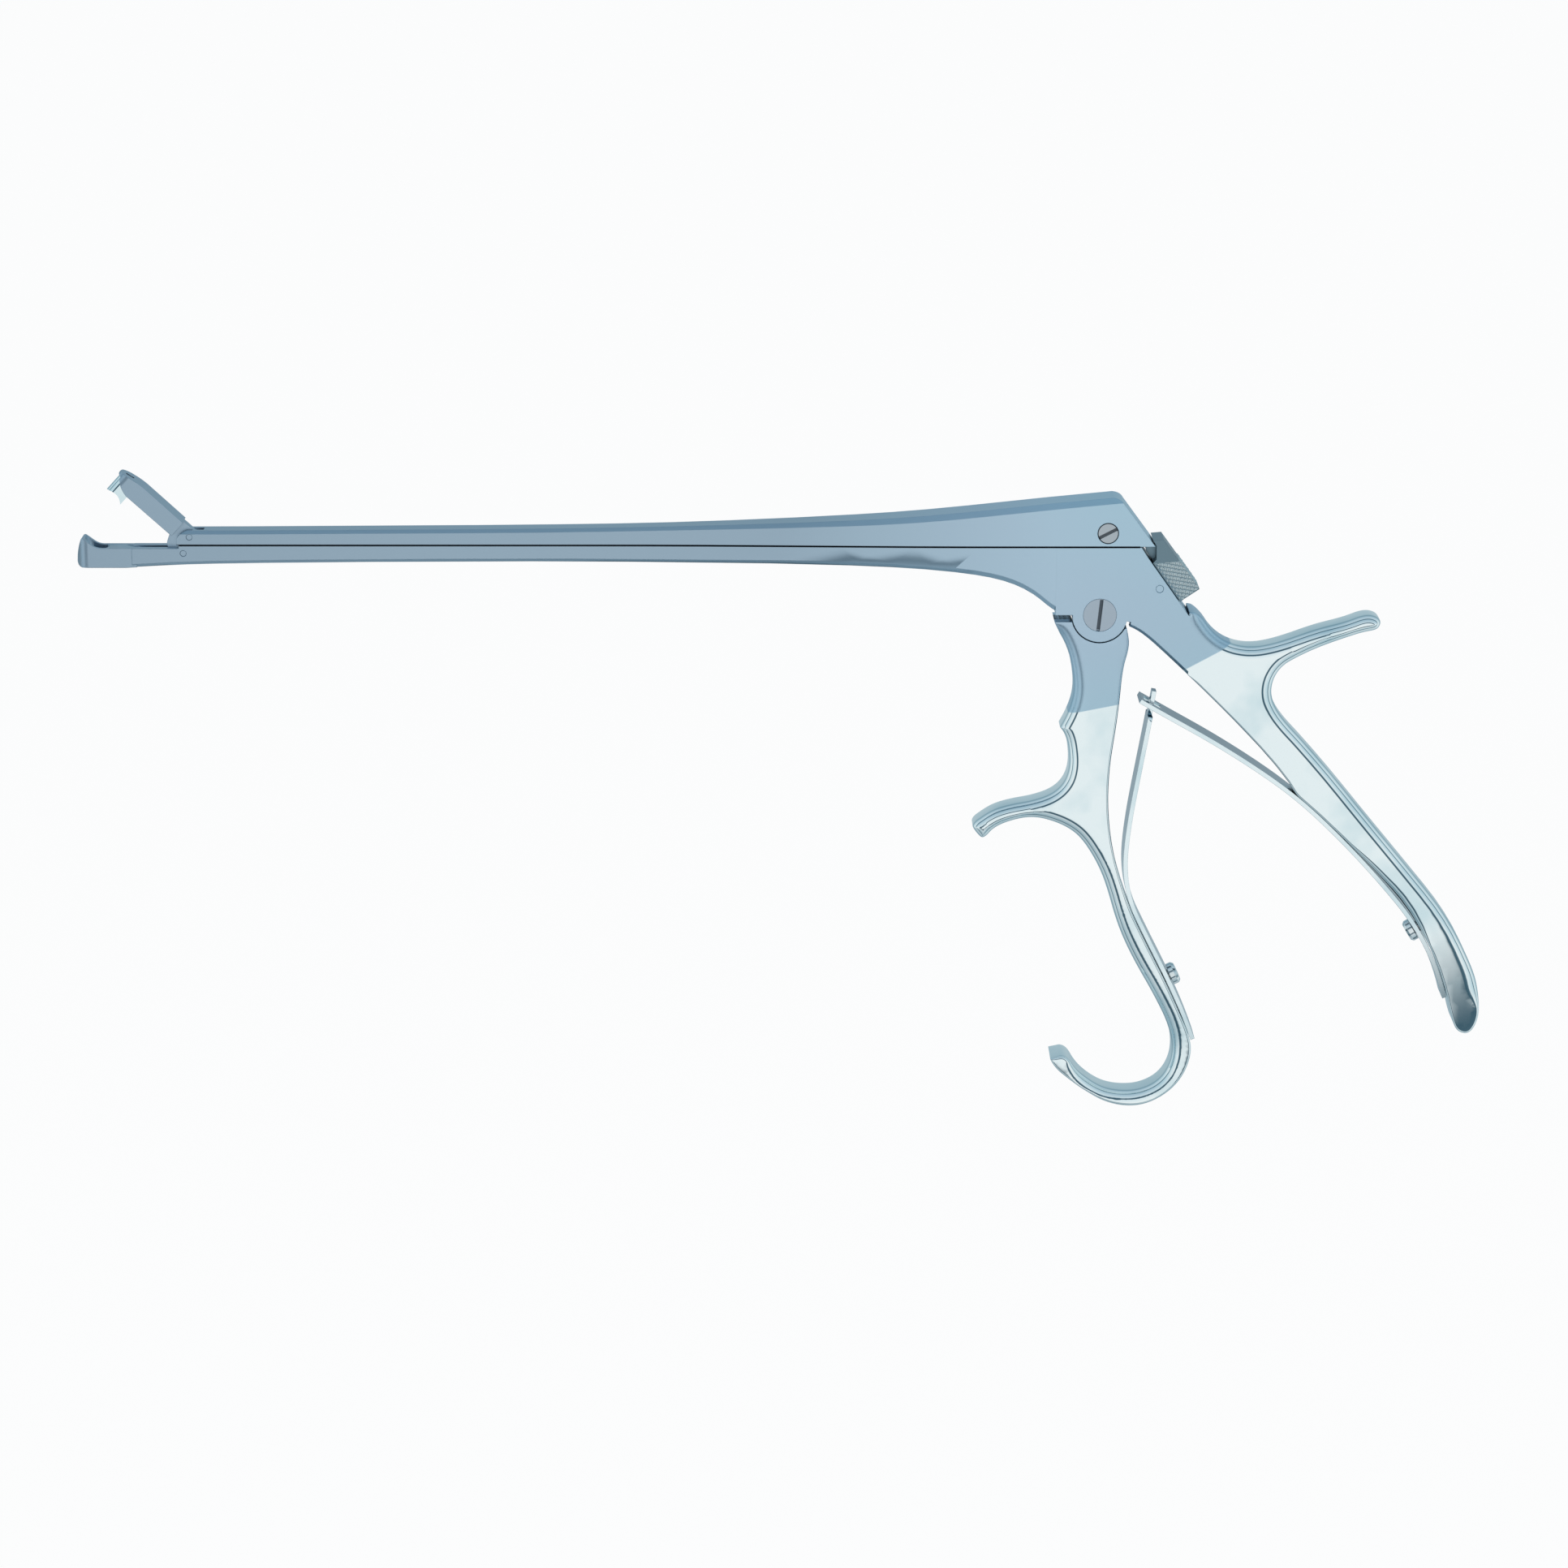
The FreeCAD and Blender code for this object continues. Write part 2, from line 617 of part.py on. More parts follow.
for count, front in enumerate(key_fronts, start=1):
    end = front + size("key_length")
    half_neck, half_head = size("key_neck") / 2, size("key_head") / 2
    sketch = new_sketch(bar, "XY_Plane", "key_%d_neck_plan" % count, neck_level)
    draw(sketch, (front, half_neck), (end, half_neck), (end, -half_neck), (front, -half_neck))
    pad(bar, sketch, "Sizes.key_step + 0.2", "key_%d_neck" % count)
    sketch = new_sketch(bar, "XY_Plane", "key_%d_head_plan" % count, key_head_level)
    draw(sketch, (front, half_head), (end, half_head), (end, -half_head), (front, -half_head))
    pad(bar, sketch, "Sizes.key_step", "key_%d_head" % count)

# Upper jaw, drawn closed about its pivot at the origin with its tip to -X

jaw = new_body("upper_jaw")
arm_low = deck + size("jaw_gap") - jaw_z
arm_top = seam + 3.1 - jaw_z
cheek_end = stroke / 2 + stroke + 0.2
sketch = new_sketch(jaw, "XZ_Plane", "arm")
draw(
    sketch,
    (-cheek_end, arm_low),
    (-16.2, arm_low),
    ("curve", [(-17.5, arm_low + 0.38), (-18.7, arm_low + 1.05), (-19.5, arm_low + 1.8)]),
    (-19.5, 3.2),
    (-20.2, 3.3),
    ("arc", (-20.35, 3.75), (-19.9, 4.05)),
    ("curve", [(-18.2, 4.35), (-16.3, 4.65), (-14.4, arm_top + 0.1)]),
    (-cheek_end - 0.1, arm_top),
    (-cheek_end, arm_top - 0.5),
)
pad(jaw, sketch, "Sizes.jaw_width", "arm_pad")
round_front(jaw, "nose_plan", "3", -20.36, -18.2)

# tang: its eye turns on the jaw pivot pin, its radial slot takes the drive pin
eye = 1.4
sketch = new_sketch(jaw, "XZ_Plane", "tang")
draw(
    sketch,
    (-7.0, arm_low + 0.3),
    (-4.9, arm_low),
    ("curve", [(-4.2, -0.1), (-3.86, -0.82), (-3.38, -1.34), (-2.6, -eye)]),
    (0, -eye),
    ("arc", (eye * 0.7071, -eye * 0.7071), (eye, 0)),
    (0.5, 3.5),
    ("curve", [(0.25, 4.15), (-0.5, 4.75), (-1.5, arm_top)]),
    (-7.0, arm_top - 0.02),
)
pad(jaw, sketch, "Sizes.tang_thickness", "tang_pad")
sketch = circle(new_sketch(jaw, "XZ_Plane", "eye_hole"), (0, 0),
                "Sizes.jaw_pin + 2 * Sizes.pin_play")
pocket(jaw, sketch, "eye_hole_cut")


def slotted(sketch, start, end, radius):
    """A slot with round ends between two centres."""
    run = math.hypot(end[0] - start[0], end[1] - start[1])
    along = ((end[0] - start[0]) / run, (end[1] - start[1]) / run)
    side = (-along[1] * radius, along[0] * radius)
    return draw(
        sketch,
        (start[0] + side[0], start[1] + side[1]),
        (end[0] + side[0], end[1] + side[1]),
        ("arc", (end[0] + along[0] * radius, end[1] + along[1] * radius),
         (end[0] - side[0], end[1] - side[1])),
        (start[0] - side[0], start[1] - side[1]),
        ("arc", (start[0] - along[0] * radius, start[1] - along[1] * radius),
         (start[0] + side[0], start[1] + side[1])),
    )


pin_reach = math.hypot(stroke / 2, jaw_pin_rise)
slot_way = (-stroke / 2 / pin_reach, jaw_pin_rise / pin_reach)
pin_slot = [(slot_way[0] * r, slot_way[1] * r) for r in (jaw_pin_rise - 0.1, pin_reach + 0.1)]
pin_radius = size("jaw_pin") / 2 + size("pin_play")
sketch = slotted(new_sketch(jaw, "XZ_Plane", "drive_slot"), pin_slot[0], pin_slot[1], pin_radius)
pocket(jaw, sketch, "drive_slot_cut")

# seat of the ring cutter and the window over it
ring_top = arm_low + 2.1
ring_reach = 20.15 - size("cutter_gap")
ring_root = 15.7 + size("cutter_gap")


def ring_plan(sketch, grow, level_half):
    """Outline of the ring cutter in plan, grown outwards by the given amount."""
    front, back, half = ring_reach + grow, ring_root - grow, level_half + grow
    return draw(
        sketch,
        (-back, half),
        (-front + 1.4, half),
        ("arc", (-front, 0), (-front + 1.4, -half)),
        (-back, -half),
    )


half_ring = half_basket - size("cutter_gap")
sketch = new_sketch(jaw, "XY_Plane", "ring_seat", "%.3f" % arm_low)
ring_plan(sketch, size("seat_play"), half_ring)
pocket(jaw, sketch, "ring_seat_cut", "%.3f" % (2 * (ring_top - arm_low)))
sketch = new_sketch(jaw, "XY_Plane", "window", "%.3f" % arm_top)
draw(sketch, (-17.3, 0.5), (-18.9, 0.5), ("arc", (-19.2, 0), (-18.9, -0.5)), (-17.3, -0.5))
pocket(jaw, sketch, "window_cut", "8")

# Ring cutter, open below, with a hollow cutting edge
ring = new_body("cutter_ring")
wall = size("cutter_wall")
ring_low = -1.8
ring_level = "%.3f" % ((ring_top + ring_low) / 2)
sketch = new_sketch(ring, "XY_Plane", "ring", ring_level)
ring_plan(sketch, 0, half_ring)
pad(ring, sketch, "%.3f" % (ring_top - ring_low), "ring_pad")
sketch = new_sketch(ring, "XY_Plane", "bore", ring_level)
ring_plan(sketch, -wall, half_ring)
pocket(ring, sketch, "bore_cut", "12")
sketch = new_sketch(ring, "XZ_Plane", "edge")
draw(
    sketch,
    (-20.4, -1.15),
    ("curve", [(-19.2, -0.45), (-17.8, -0.15), (-16.6, -0.6), (-15.6, -1.6)]),
    (-15.6, -3.0),
    (-20.4, -3.0),
)
pocket(ring, sketch, "edge_cut")
jaw_place = FreeCAD.Placement(V(jaw_x, 0, jaw_z), FreeCAD.Rotation(V(0, 1, 0), size("jaw_swing")))
jaw.Placement = jaw_place
ring.Placement = jaw_place


def cross_pin(label, centre, diameter, length):
    """A pin across the middle plane."""
    pin = doc.addObject("Part::Cylinder", label)
    pin.Label = label
    pin.setExpression("Radius", "(%s) / 2" % diameter)
    pin.setExpression("Height", length)
    pin.Placement = FreeCAD.Placement(V(centre[0], 0, centre[1]),
                                      FreeCAD.Rotation(V(0, 0, 1), V(0, 1, 0)))
    pin.setExpression("Placement.Base.y", "-(%s) / 2" % length)
    return pin


pin_length = "Sizes.shank_width - 2 * Sizes.side_play"
pivot_pin = cross_pin("jaw_pivot_pin", (jaw_x, jaw_z), "Sizes.jaw_pin", pin_length)
drive_pin = cross_pin("jaw_drive_pin", (jaw_pin_x, jaw_pin_z), "Sizes.jaw_pin", pin_length)

# Trigger: front handle, finger spur, finger hook and the lug that drives the bar

trigger = new_body("trigger_handle")
shoulder = round_end + size("shoulder_gap")
sketch = new_sketch(trigger, "XZ_Plane", "handle")
draw(
    sketch,
    (-44.6, pivot_z - 1.4),
    on_circle(pivot, shoulder, 194),
    ("arc", on_circle(pivot, shoulder, 262), on_circle(pivot, shoulder, 330)),
    on_circle(pivot, relief - 0.4, 334),
    ("curve",
     [(-29.6, 12.8), (-29.4, 10.9), (-30.0, 7.8), (-31.1, -1.0), (-32.3, -10.8),
      (-33.0, -18.2), (-32.9, -25.1), (-32.2, -30.6), (-30.6, -36.2), (-29.6, -40.2)]
     + trigger_back_line
     + [(-14.9, -75.6), (-15.1, -77.1), (-16.4, -80.8), (-18.8, -84.0), (-22.1, -86.4),
        (-25.6, -87.7), (-29.0, -87.8), (-32.4, -87.0), (-36.0, -85.1), (-39.4, -82.6),
        (-43.0, -79.4), (-44.2, -77.5)]),
    (-42.0, -76.9),
    ("curve",
     [(-40.9, -77.2), (-39.1, -79.4), (-36.4, -82.1), (-32.9, -84.2), (-29.4, -84.9),
      (-25.3, -84.6), (-21.8, -82.8), (-19.5, -79.4), (-18.9, -76.2), (-19.1, -73.1),
      (-20.4, -69.2), (-22.6, -64.6), (-26.2, -58.1), (-30.4, -49.1), (-33.8, -38.5),
      (-34.6, -36.6), (-36.7, -32.9), (-39.1, -29.8), (-41.8, -27.9), (-45.0, -26.6),
      (-48.3, -26.0), (-51.6, -26.4), (-54.6, -27.4), (-57.2, -29.2), (-58.6, -30.3),
      (-60.0, -29.1), (-60.7, -27.9), (-59.3, -26.2), (-56.7, -24.5), (-52.0, -23.1),
      (-48.0, -22.2), (-44.8, -21.0), (-42.5, -19.0), (-41.2, -15.7), (-41.2, -12.3),
      (-41.9, -8.8), (-43.1, -6.9)]),
    ("curve",
     [(-42.0, -4.8), (-41.0, -2.3), (-40.4, 0.4), (-40.5, 3.8), (-41.0, 7.0),
      (-41.8, 9.6), (-43.4, 12.8)]),
)
pad(trigger, sketch, "Sizes.body_width", "handle_pad")
break_edges(trigger, "handle_edges", lambda m: m.z < 0.2 * (m.x + 36) - 2.5)
lug_half, lug_end = 4.5, 2.8
sketch = new_sketch(trigger, "XZ_Plane", "lug")
draw(
    sketch,
    (pivot_x - lug_half, pivot_z - 9),
    (pivot_x - lug_half, pivot_z),
    (drive_x - lug_end, drive_z),
    ("arc", (drive_x, drive_z + lug_end), (drive_x + lug_end, drive_z)),
    (pivot_x + lug_half, pivot_z),
    (pivot_x + lug_half, pivot_z - 9),
)
pad(trigger, sketch, "Sizes.lug_thickness", "lug_pad")
sketch = circle(new_sketch(trigger, "XZ_Plane", "pivot_bore"), pivot,
                "Sizes.pivot_shank + 2 * Sizes.pin_play")
pocket(trigger, sketch, "pivot_bore_cut")
drive_reach = math.hypot(size("drive_lead"), drive_rise)
drive_way = (size("drive_lead") / drive_reach, drive_rise / drive_reach)
drive_ends = [(pivot_x + drive_way[0] * r, pivot_z + drive_way[1] * r)
              for r in (drive_reach - 0.25, drive_reach + 0.2)]
sketch = slotted(new_sketch(trigger, "XZ_Plane", "drive_bore"), drive_ends[0], drive_ends[1],
                 size("bar_screw_shank") / 2 + size("pin_play"))
pocket(trigger, sketch, "drive_bore_cut")
front_bore = turned_cylinder("front_screw_bore", front_screw, front_out,
                             -leaf - screw_depth - 0.3, bore_length, bore)
trigger_handle = boolean("Cut", "trigger_handle", trigger, front_bore)
trigger.Label = "trigger_forging"
trigger_handle.Label = "trigger_handle"

# Flush screws with a straight driver slot, heads on the near side


def flush_screw(label, centre, head, shank, tilt):
    top = doc.addObject("Part::Cylinder", label + "_head")
    top.setExpression("Radius", head + " / 2")
    top.setExpression("Height", "Sizes.head_depth")
    rod = doc.addObject("Part::Cylinder", label + "_shank")
    rod.setExpression("Radius", shank + " / 2")
    rod.setExpression("Height", "Sizes.body_width - Sizes.side_play")
    for item in (top, rod):
        item.Placement = FreeCAD.Placement(V(centre[0], 0, centre[1]),
                                           FreeCAD.Rotation(V(0, 0, 1), V(0, 1, 0)))
        item.setExpression("Placement.Base.y", "-Sizes.body_width / 2 + Sizes.seat_play")
    slot = doc.addObject("Part::Box", label + "_slot")
    slot.setExpression("Length", head + " + 1")
    slot.setExpression("Width", "Sizes.head_depth")
    slot.setExpression("Height", "Sizes.screw_slot")
    turn = FreeCAD.Rotation(V(0, 1, 0), -tilt)
    reach = (size(head.split(".")[1]) + 1) / 2
    corner = turn.multVec(V(-reach, 0, -size("screw_slot") / 2))
    start = V(centre[0], -half_body - size("head_depth") / 2, centre[1])
    slot.Placement = FreeCAD.Placement(start + corner, turn)
    whole = boolean("Fuse", label + "_blank", top, rod)
    return boolean("Cut", label, whole, slot)


pivot_screw = flush_screw("trigger_pivot_screw", pivot, "Sizes.pivot_head",
                          "Sizes.pivot_shank", 84.0)
bar_screw = flush_screw("slide_bar_screw", (drive_x, drive_z), "Sizes.bar_screw_head",
                        "Sizes.bar_screw_shank", 27.5)

# Leaf springs; the front one's tongue stands in the rear one's slot


def leaf_body(label, points, side):
    body = new_body(label)
    sketch = new_sketch(body, "XZ_Plane", "leaf")
    other = offset(points, side * leaf)
    draw(sketch, points[0], ("curve", points[1:]), other[-1], ("curve", other[-2::-1]))
    pad(body, sketch, "Sizes.leaf_width", "leaf_pad")
    return body


rear_blank = leaf_body("rear_leaf_blank", rear_leaf_free + rear_leaf_seat, 1)
sketch = new_sketch(rear_blank, "XZ_Plane", "tongue_slot")
draw(sketch, (-25.9, 1.0), (-22.3, 1.0), (-22.3, -7.0), (-25.9, -7.0))
pocket(rear_blank, sketch, "tongue_slot_cut", "Sizes.leaf_tongue + 4 * Sizes.side_play")
front_blank = leaf_body("front_leaf_blank", [(-23.4, 0.3)] + front_leaf_free + front_leaf_seat, -1)
sketch = new_sketch(front_blank, "YZ_Plane", "tongue_sides")
half_tongue = size("leaf_tongue") / 2
for side in (1, -1):
    draw(sketch, (side * half_tongue, -4.6), (side * half_tongue, 3.0),
         (side * half_body, 3.0), (side * half_body, -4.6))
pocket(front_blank, sketch, "tongue_sides_cut")
rear_leaf = boolean("Cut", "rear_leaf_spring", rear_blank, rear_bore)
front_leaf = boolean("Cut", "front_leaf_spring", front_blank, front_bore)


def leaf_screw(label, foot, out):
    """A screw whose low head lies on the curved leaf."""
    lift = seat_gap + 0.08
    rod = turned_cylinder(label + "_shank", foot, out, -leaf - screw_depth,
                          "Sizes.leaf_screw_depth + Sizes.leaf_thickness + 0.6",
                          "Sizes.leaf_screw_shank")
    low = turned_cylinder(label + "_rim", foot, out, lift, "Sizes.leaf_screw_height - 0.5",
                          "Sizes.leaf_screw_head")
    top = doc.addObject("Part::Cone", label + "_crown")
    top.setExpression("Radius1", "Sizes.leaf_screw_head / 2")
    top.setExpression("Radius2", "Sizes.leaf_screw_head / 2 - 0.45")
    top.Height = 0.5
    start = lift + size("leaf_screw_height") - 0.5
    top.Placement = FreeCAD.Placement(V(foot[0] + out[0] * start, 0, foot[1] + out[1] * start),
                                      low.Placement.Rotation)
    crown = boolean("Fuse", label + "_head", low, top)
    return boolean("Fuse", label, crown, rod)


rear_leaf_screw = leaf_screw("rear_spring_screw", rear_screw, rear_out)
front_leaf_screw = leaf_screw("front_spring_screw", front_screw, front_out)

# Release slide on the rear slope, with its pin and return spring

catch = new_body("release_slide")
sketch = new_sketch(catch, "XZ_Plane", "slide")
draw(
    sketch,
    on_slope(1.5, 0.12),
    on_slope(11.3, 0.12),
    on_slope(11.27, 1.21),
    on_slope(11.37, 4.81),
    on_slope(-1.23, 4.67),
    on_slope(-2.31, 2.8),
    on_slope(-1, 2.73),
    on_slope(1.28, 1.12),
)
pad(catch, sketch, "Sizes.catch_width", "slide_pad")
# a nose on the middle line reaches under the rear end of the slide bar
sketch = new_sketch(catch, "XZ_Plane", "nose")
draw(sketch, on_slope(2.0, 0.3), on_slope(2.0, 1.5), (slope_top[0] + 1.8, seam - 0.1),
     (slope_top[0] - 0.6, seam - 0.1), on_slope(-0.8, 0.3))
pad(catch, sketch, "Sizes.catch_tongue", "nose_pad")
sketch = new_sketch(catch, "XZ_Plane", "tongue")
draw(sketch, on_slope(2.0, 0.7), on_slope(2.0, -3.1), on_slope(9.0, -3.1), on_slope(9.0, -1.2),
     on_slope(11.0, -1.2), on_slope(11.0, 0.7))
pad(catch, sketch, "Sizes.catch_tongue", "tongue_pad")
sketch = slotted(new_sketch(catch, "XZ_Plane", "pin_slot"),
                 on_slope(6.6 - size("catch_travel"), -1.7), catch_pin_at,
                 size("catch_pin") / 2 + size("pin_play"))
pocket(catch, sketch, "pin_slot_cut")
catch_pin = cross_pin("release_slide_pin", catch_pin_at, "Sizes.catch_pin",
                      "Sizes.body_width - 2 * Sizes.side_play")

# coil spring between the tongue's nose and the end of the slot
spring_start, spring_end, spring_level = 9.15, 15.05, -2.2
wire = size("catch_wire")
coil = doc.addObject("Part::Helix", "coil")
coil.setExpression("Radius", "(Sizes.catch_coil - Sizes.catch_wire) / 2")
coil.Pitch = 1.6
coil.Height = spring_end - spring_start - wire
coil_turn = FreeCAD.Rotation(V(0, 0, 1), V(slope_x, 0, slope_z))
coil_foot = on_slope(spring_start + wire / 2, spring_level)
section = doc.addObject("Part::RegularPolygon", "coil_section")
section.Polygon = 6
section.setExpression("Circumradius", "Sizes.catch_wire / 2")
coil_radius = (size("catch_coil") - wire) / 2
section.Placement = FreeCAD.Placement(V(coil_radius, 0, 0), FreeCAD.Rotation(V(1, 0, 0), 90))
spring = doc.addObject("Part::Sweep", "release_slide_spring")
spring.Label = "release_slide_spring"
spring.Sections = [section]
spring.Spine = (coil, ["Edge%d" % (i + 1) for i in range(len(coil.Shape.Edges))])
spring.Solid = True
spring.Frenet = True
spring.Placement = FreeCAD.Placement(V(coil_foot[0], 0, coil_foot[1]), coil_turn)

doc.recompute()
nodes = [
    main_frame,
    bar,
    jaw,
    ring,
    pivot_pin,
    drive_pin,
    trigger_handle,
    pivot_screw,
    bar_screw,
    front_leaf,
    rear_leaf,
    front_leaf_screw,
    rear_leaf_screw,
    catch,
    catch_pin,
    spring,
]
for item in doc.Objects:
    if "Invalid" in item.State or "Error" in item.State:
        raise RuntimeError("%s: %s" % (item.Label, item.getStatusString()))
for item in nodes:
    if item.Shape.isNull() or not item.Shape.isValid() or len(item.Shape.Solids) != 1:
        raise RuntimeError(item.Label + " is not one valid solid")
os.makedirs("parts", exist_ok=True)
for item in nodes:
    item.Shape.exportStep("parts/%s.step" % item.Label)
    print(item.Label, round(item.Shape.Volume, 2))
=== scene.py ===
import math

import bmesh
import bpy
import numpy as np
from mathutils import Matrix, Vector
from mathutils.geometry import delaunay_2d_cdt


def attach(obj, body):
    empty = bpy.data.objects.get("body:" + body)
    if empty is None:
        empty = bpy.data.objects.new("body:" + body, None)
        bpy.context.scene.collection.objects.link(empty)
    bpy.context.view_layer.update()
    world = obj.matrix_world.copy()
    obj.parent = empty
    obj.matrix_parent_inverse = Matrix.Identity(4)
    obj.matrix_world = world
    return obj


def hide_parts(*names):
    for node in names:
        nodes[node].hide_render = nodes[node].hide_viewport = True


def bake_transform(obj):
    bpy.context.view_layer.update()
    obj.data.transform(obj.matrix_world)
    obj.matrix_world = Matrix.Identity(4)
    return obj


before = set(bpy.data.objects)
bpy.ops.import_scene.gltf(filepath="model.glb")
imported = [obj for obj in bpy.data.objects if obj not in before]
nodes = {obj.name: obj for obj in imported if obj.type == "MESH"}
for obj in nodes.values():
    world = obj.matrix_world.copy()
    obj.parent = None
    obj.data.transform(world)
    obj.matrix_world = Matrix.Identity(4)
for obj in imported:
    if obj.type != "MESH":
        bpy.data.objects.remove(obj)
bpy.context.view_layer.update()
print("packed model loaded")


class Signal:  # a shader value; arithmetic on it adds Math nodes
    def __init__(self, board, socket):
        self.board = board
        self.socket = socket

    def maths(self, operation, *others):
        return self.board.add("ShaderNodeMath", {"operation": operation},
                              dict(enumerate((self,) + others)))[0]

    def __add__(self, other):
        return self.maths("ADD", other)

    def __mul__(self, other):
        return self.maths("MULTIPLY", other)

    def __sub__(self, other):
        return self.maths("SUBTRACT", other)

    def __rsub__(self, other):
        return self.board.add("ShaderNodeMath", {"operation": "SUBTRACT"}, {0: other, 1: self})[0]

    __radd__ = __add__
    __rmul__ = __mul__


class Board:  # a node tree that is filled by one method
    def __init__(self, tree):
        self.tree = tree
        tree.nodes.clear()

    def add(self, kind, settings, inputs):
        node = self.tree.nodes.new(kind)
        for name, value in settings.items():
            if name == "stops":
                ramp = node.color_ramp
                while len(ramp.elements) < len(value):
                    ramp.elements.new(0.5)
                for element, (at, colour) in zip(ramp.elements, value):
                    element.position = at
                    element.color = (*colour, 1)
            else:
                setattr(node, name, value)
        for name, value in inputs.items():
            if isinstance(value, Signal):
                self.tree.links.new(value.socket, node.inputs[name])
            else:
                socket = node.inputs[name]
                opaque = isinstance(value, tuple) and len(socket.default_value) > len(value)
                socket.default_value = (*value, 1) if opaque else value
        return [Signal(self, out) for out in node.outputs]


def newBoard(name):
    material = bpy.data.materials.new(name)
    material.use_nodes = True
    return material, Board(material.node_tree)


steel = {
    "satinColour": (0.470, 0.620, 0.745),
    "satinTeal": (0.430, 0.665, 0.775),    # the slow second tone of the satin faces
    "shankColour": (0.355, 0.475, 0.575),
    "shankLimits": (-0.100, -0.045),       # the tone changes along X between these places
    "satinRough": 0.34,
    "mirrorColour": (0.81, 0.90, 0.915),
    "mirrorCloud": (0.62, 0.77, 0.81),
    "mirrorRough": 0.05,
    "grain": 9000.0,       # blasted grain, per metre
    "cloud": 75.0,         # changes of tone on the polish, per metre
    "broad": 16.0,         # changes of tone on the satin, per metre
    "paintedShadeColour": (0.012, 0.018, 0.028),
    "creviceShadeReach": 0.0009,    # how far the painted shade of a crevice darkens its walls
    "creviceShadeStops": [(0.04, (0.04, 0.05, 0.065)), (0.42, (1, 1, 1))],
    "roughSpread": 0.06,   # the grain's share in the satin's roughness
}


def noiseOf(board, place, scale, detail):
    inputs = {"Vector": place, "Scale": scale, "Detail": detail}
    return board.add("ShaderNodeTexNoise", {}, inputs)[0]


def blendTones(board, share, first, second, kind="MIX"):
    settings = {"data_type": "RGBA", "blend_type": kind}
    return board.add("ShaderNodeMix", settings, {0: share, 6: first, 7: second})[2]


# 0 below minus half the width, 1 above plus half, straight in between
def softStep(value, width):
    return (value * (1 / width) + 0.5).maths("MINIMUM", 1.0).maths("MAXIMUM", 0.0)


# polish (0 satin, 1 mirror) is a number or a function of the place, gap (1 where painted shade
# darkens a joint line, slot or recess) a function of it, edge the radius of the worked edges or
# None
def steelMaterial(name, polish, edge, gap=None, tone=None, turnedFaceShade=None):
    material, board = newBoard(name)
    coordinates = board.add("ShaderNodeTexCoord", {}, {})
    place = coordinates[3]
    axes = board.add("ShaderNodeSeparateXYZ", {}, {0: place})
    level = polish(axes) if callable(polish) else polish
    grain = noiseOf(board, place, steel["grain"], 2.0)
    cloud = softStep(noiseOf(board, place, steel["cloud"], 3.0) - 0.56, 0.22)
    broad = softStep(noiseOf(board, place, steel["broad"], 1.0) - 0.5, 0.35)
    satinTone = blendTones(board, broad, tone or steel["satinColour"], tone or steel["satinTeal"])
    if not tone:
        front, back = steel["shankLimits"]
        alongX = softStep(axes[0] - (front + back) / 2, back - front)
        satinTone = blendTones(board, alongX, steel["shankColour"], satinTone)
    mirrorTone = blendTones(board, cloud, steel["mirrorColour"], steel["mirrorCloud"])
    colour = blendTones(board, level, satinTone, mirrorTone)
    if turnedFaceShade:   # painted shade: the flat faces of a strip, turned away from Y, are darker, and its edges stay bright
        across = board.add("ShaderNodeSeparateXYZ", {}, {0: coordinates[1]})[1].maths("ABSOLUTE")
        colour = blendTones(board, softStep(0.6 - across, 0.1), colour, turnedFaceShade)
    # painted shade: ambient occlusion darkens the colour in crevices and between parts
    openness = board.add("ShaderNodeAmbientOcclusion", {"samples": 8},
                         {"Distance": steel["creviceShadeReach"]})[1]
    crevice = board.add("ShaderNodeValToRGB", {"stops": steel["creviceShadeStops"]}, {0: openness})[0]
    colour = blendTones(board, 1.0, colour, crevice, "MULTIPLY")
    # painted shade: where gap is 1 the colour turns near black
    if gap:
        colour = blendTones(board, gap(axes), colour, steel["paintedShadeColour"])
    satinShare = 1 - level
    spread = steel["roughSpread"]
    satinRough = grain * spread + (steel["satinRough"] - spread / 2)
    rough = satinRough * satinShare + level * steel["mirrorRough"]
    relief = {"Strength": 0.05, "Distance": 0.00002, "Height": grain * satinShare}
    if edge:
        relief["Normal"] = board.add("ShaderNodeBevel", {"samples": 12}, {"Radius": edge})[0]
    inputs = {"Base Color": colour, "Metallic": 1.0, "Roughness": rough}
    if level != 1.0:
        inputs["Normal"] = board.add("ShaderNodeBump", {}, relief)[0]
    surface = board.add("ShaderNodeBsdfPrincipled", {}, inputs)[0]
    board.add("ShaderNodeOutputMaterial", {}, {0: surface})
    return material


finish = {
    "seam": (0.03088, 0.03126),     # heights between which painted shade darkens the joint line under the bar
    "seamEnds": (-0.2240, -0.0275),
    "nose": (-0.0275, -0.0205, 0.0262, 0.0042),    # from and to along X, foot, half width
    "frameLine": (-0.0182, 0.0055, 0.48, 0.877),   # point and slopes of the polish's limit
    "triggerLine": (-0.0420, -0.0038, 0.2),
    "lug": (0.0024, 0.0040),                       # half width and foot of the part with painted shade
    "barScrew": (-0.0340, 0.0339),
    "barScrewRim": 0.00196,
    "barSlot": (27.5, 0.00028),       # angle and half width
    "pivotScrew": (-0.0354, 0.0170),
    "pivotSlot": (84.0, 0.00036, 0.0031),
}


def frameHandle(axes):   # polished behind the line across the root of the rear handle
    atX, atZ, alongX, alongZ = finish["frameLine"]
    return softStep((axes[0] - atX) * alongX - (axes[2] - atZ) * alongZ, 0.0002)


def triggerHandle(axes):   # polished under the line across the trigger
    atX, atZ, alongX = finish["triggerLine"]
    return softStep((axes[0] - atX) * alongX - (axes[2] - atZ), 0.0002)


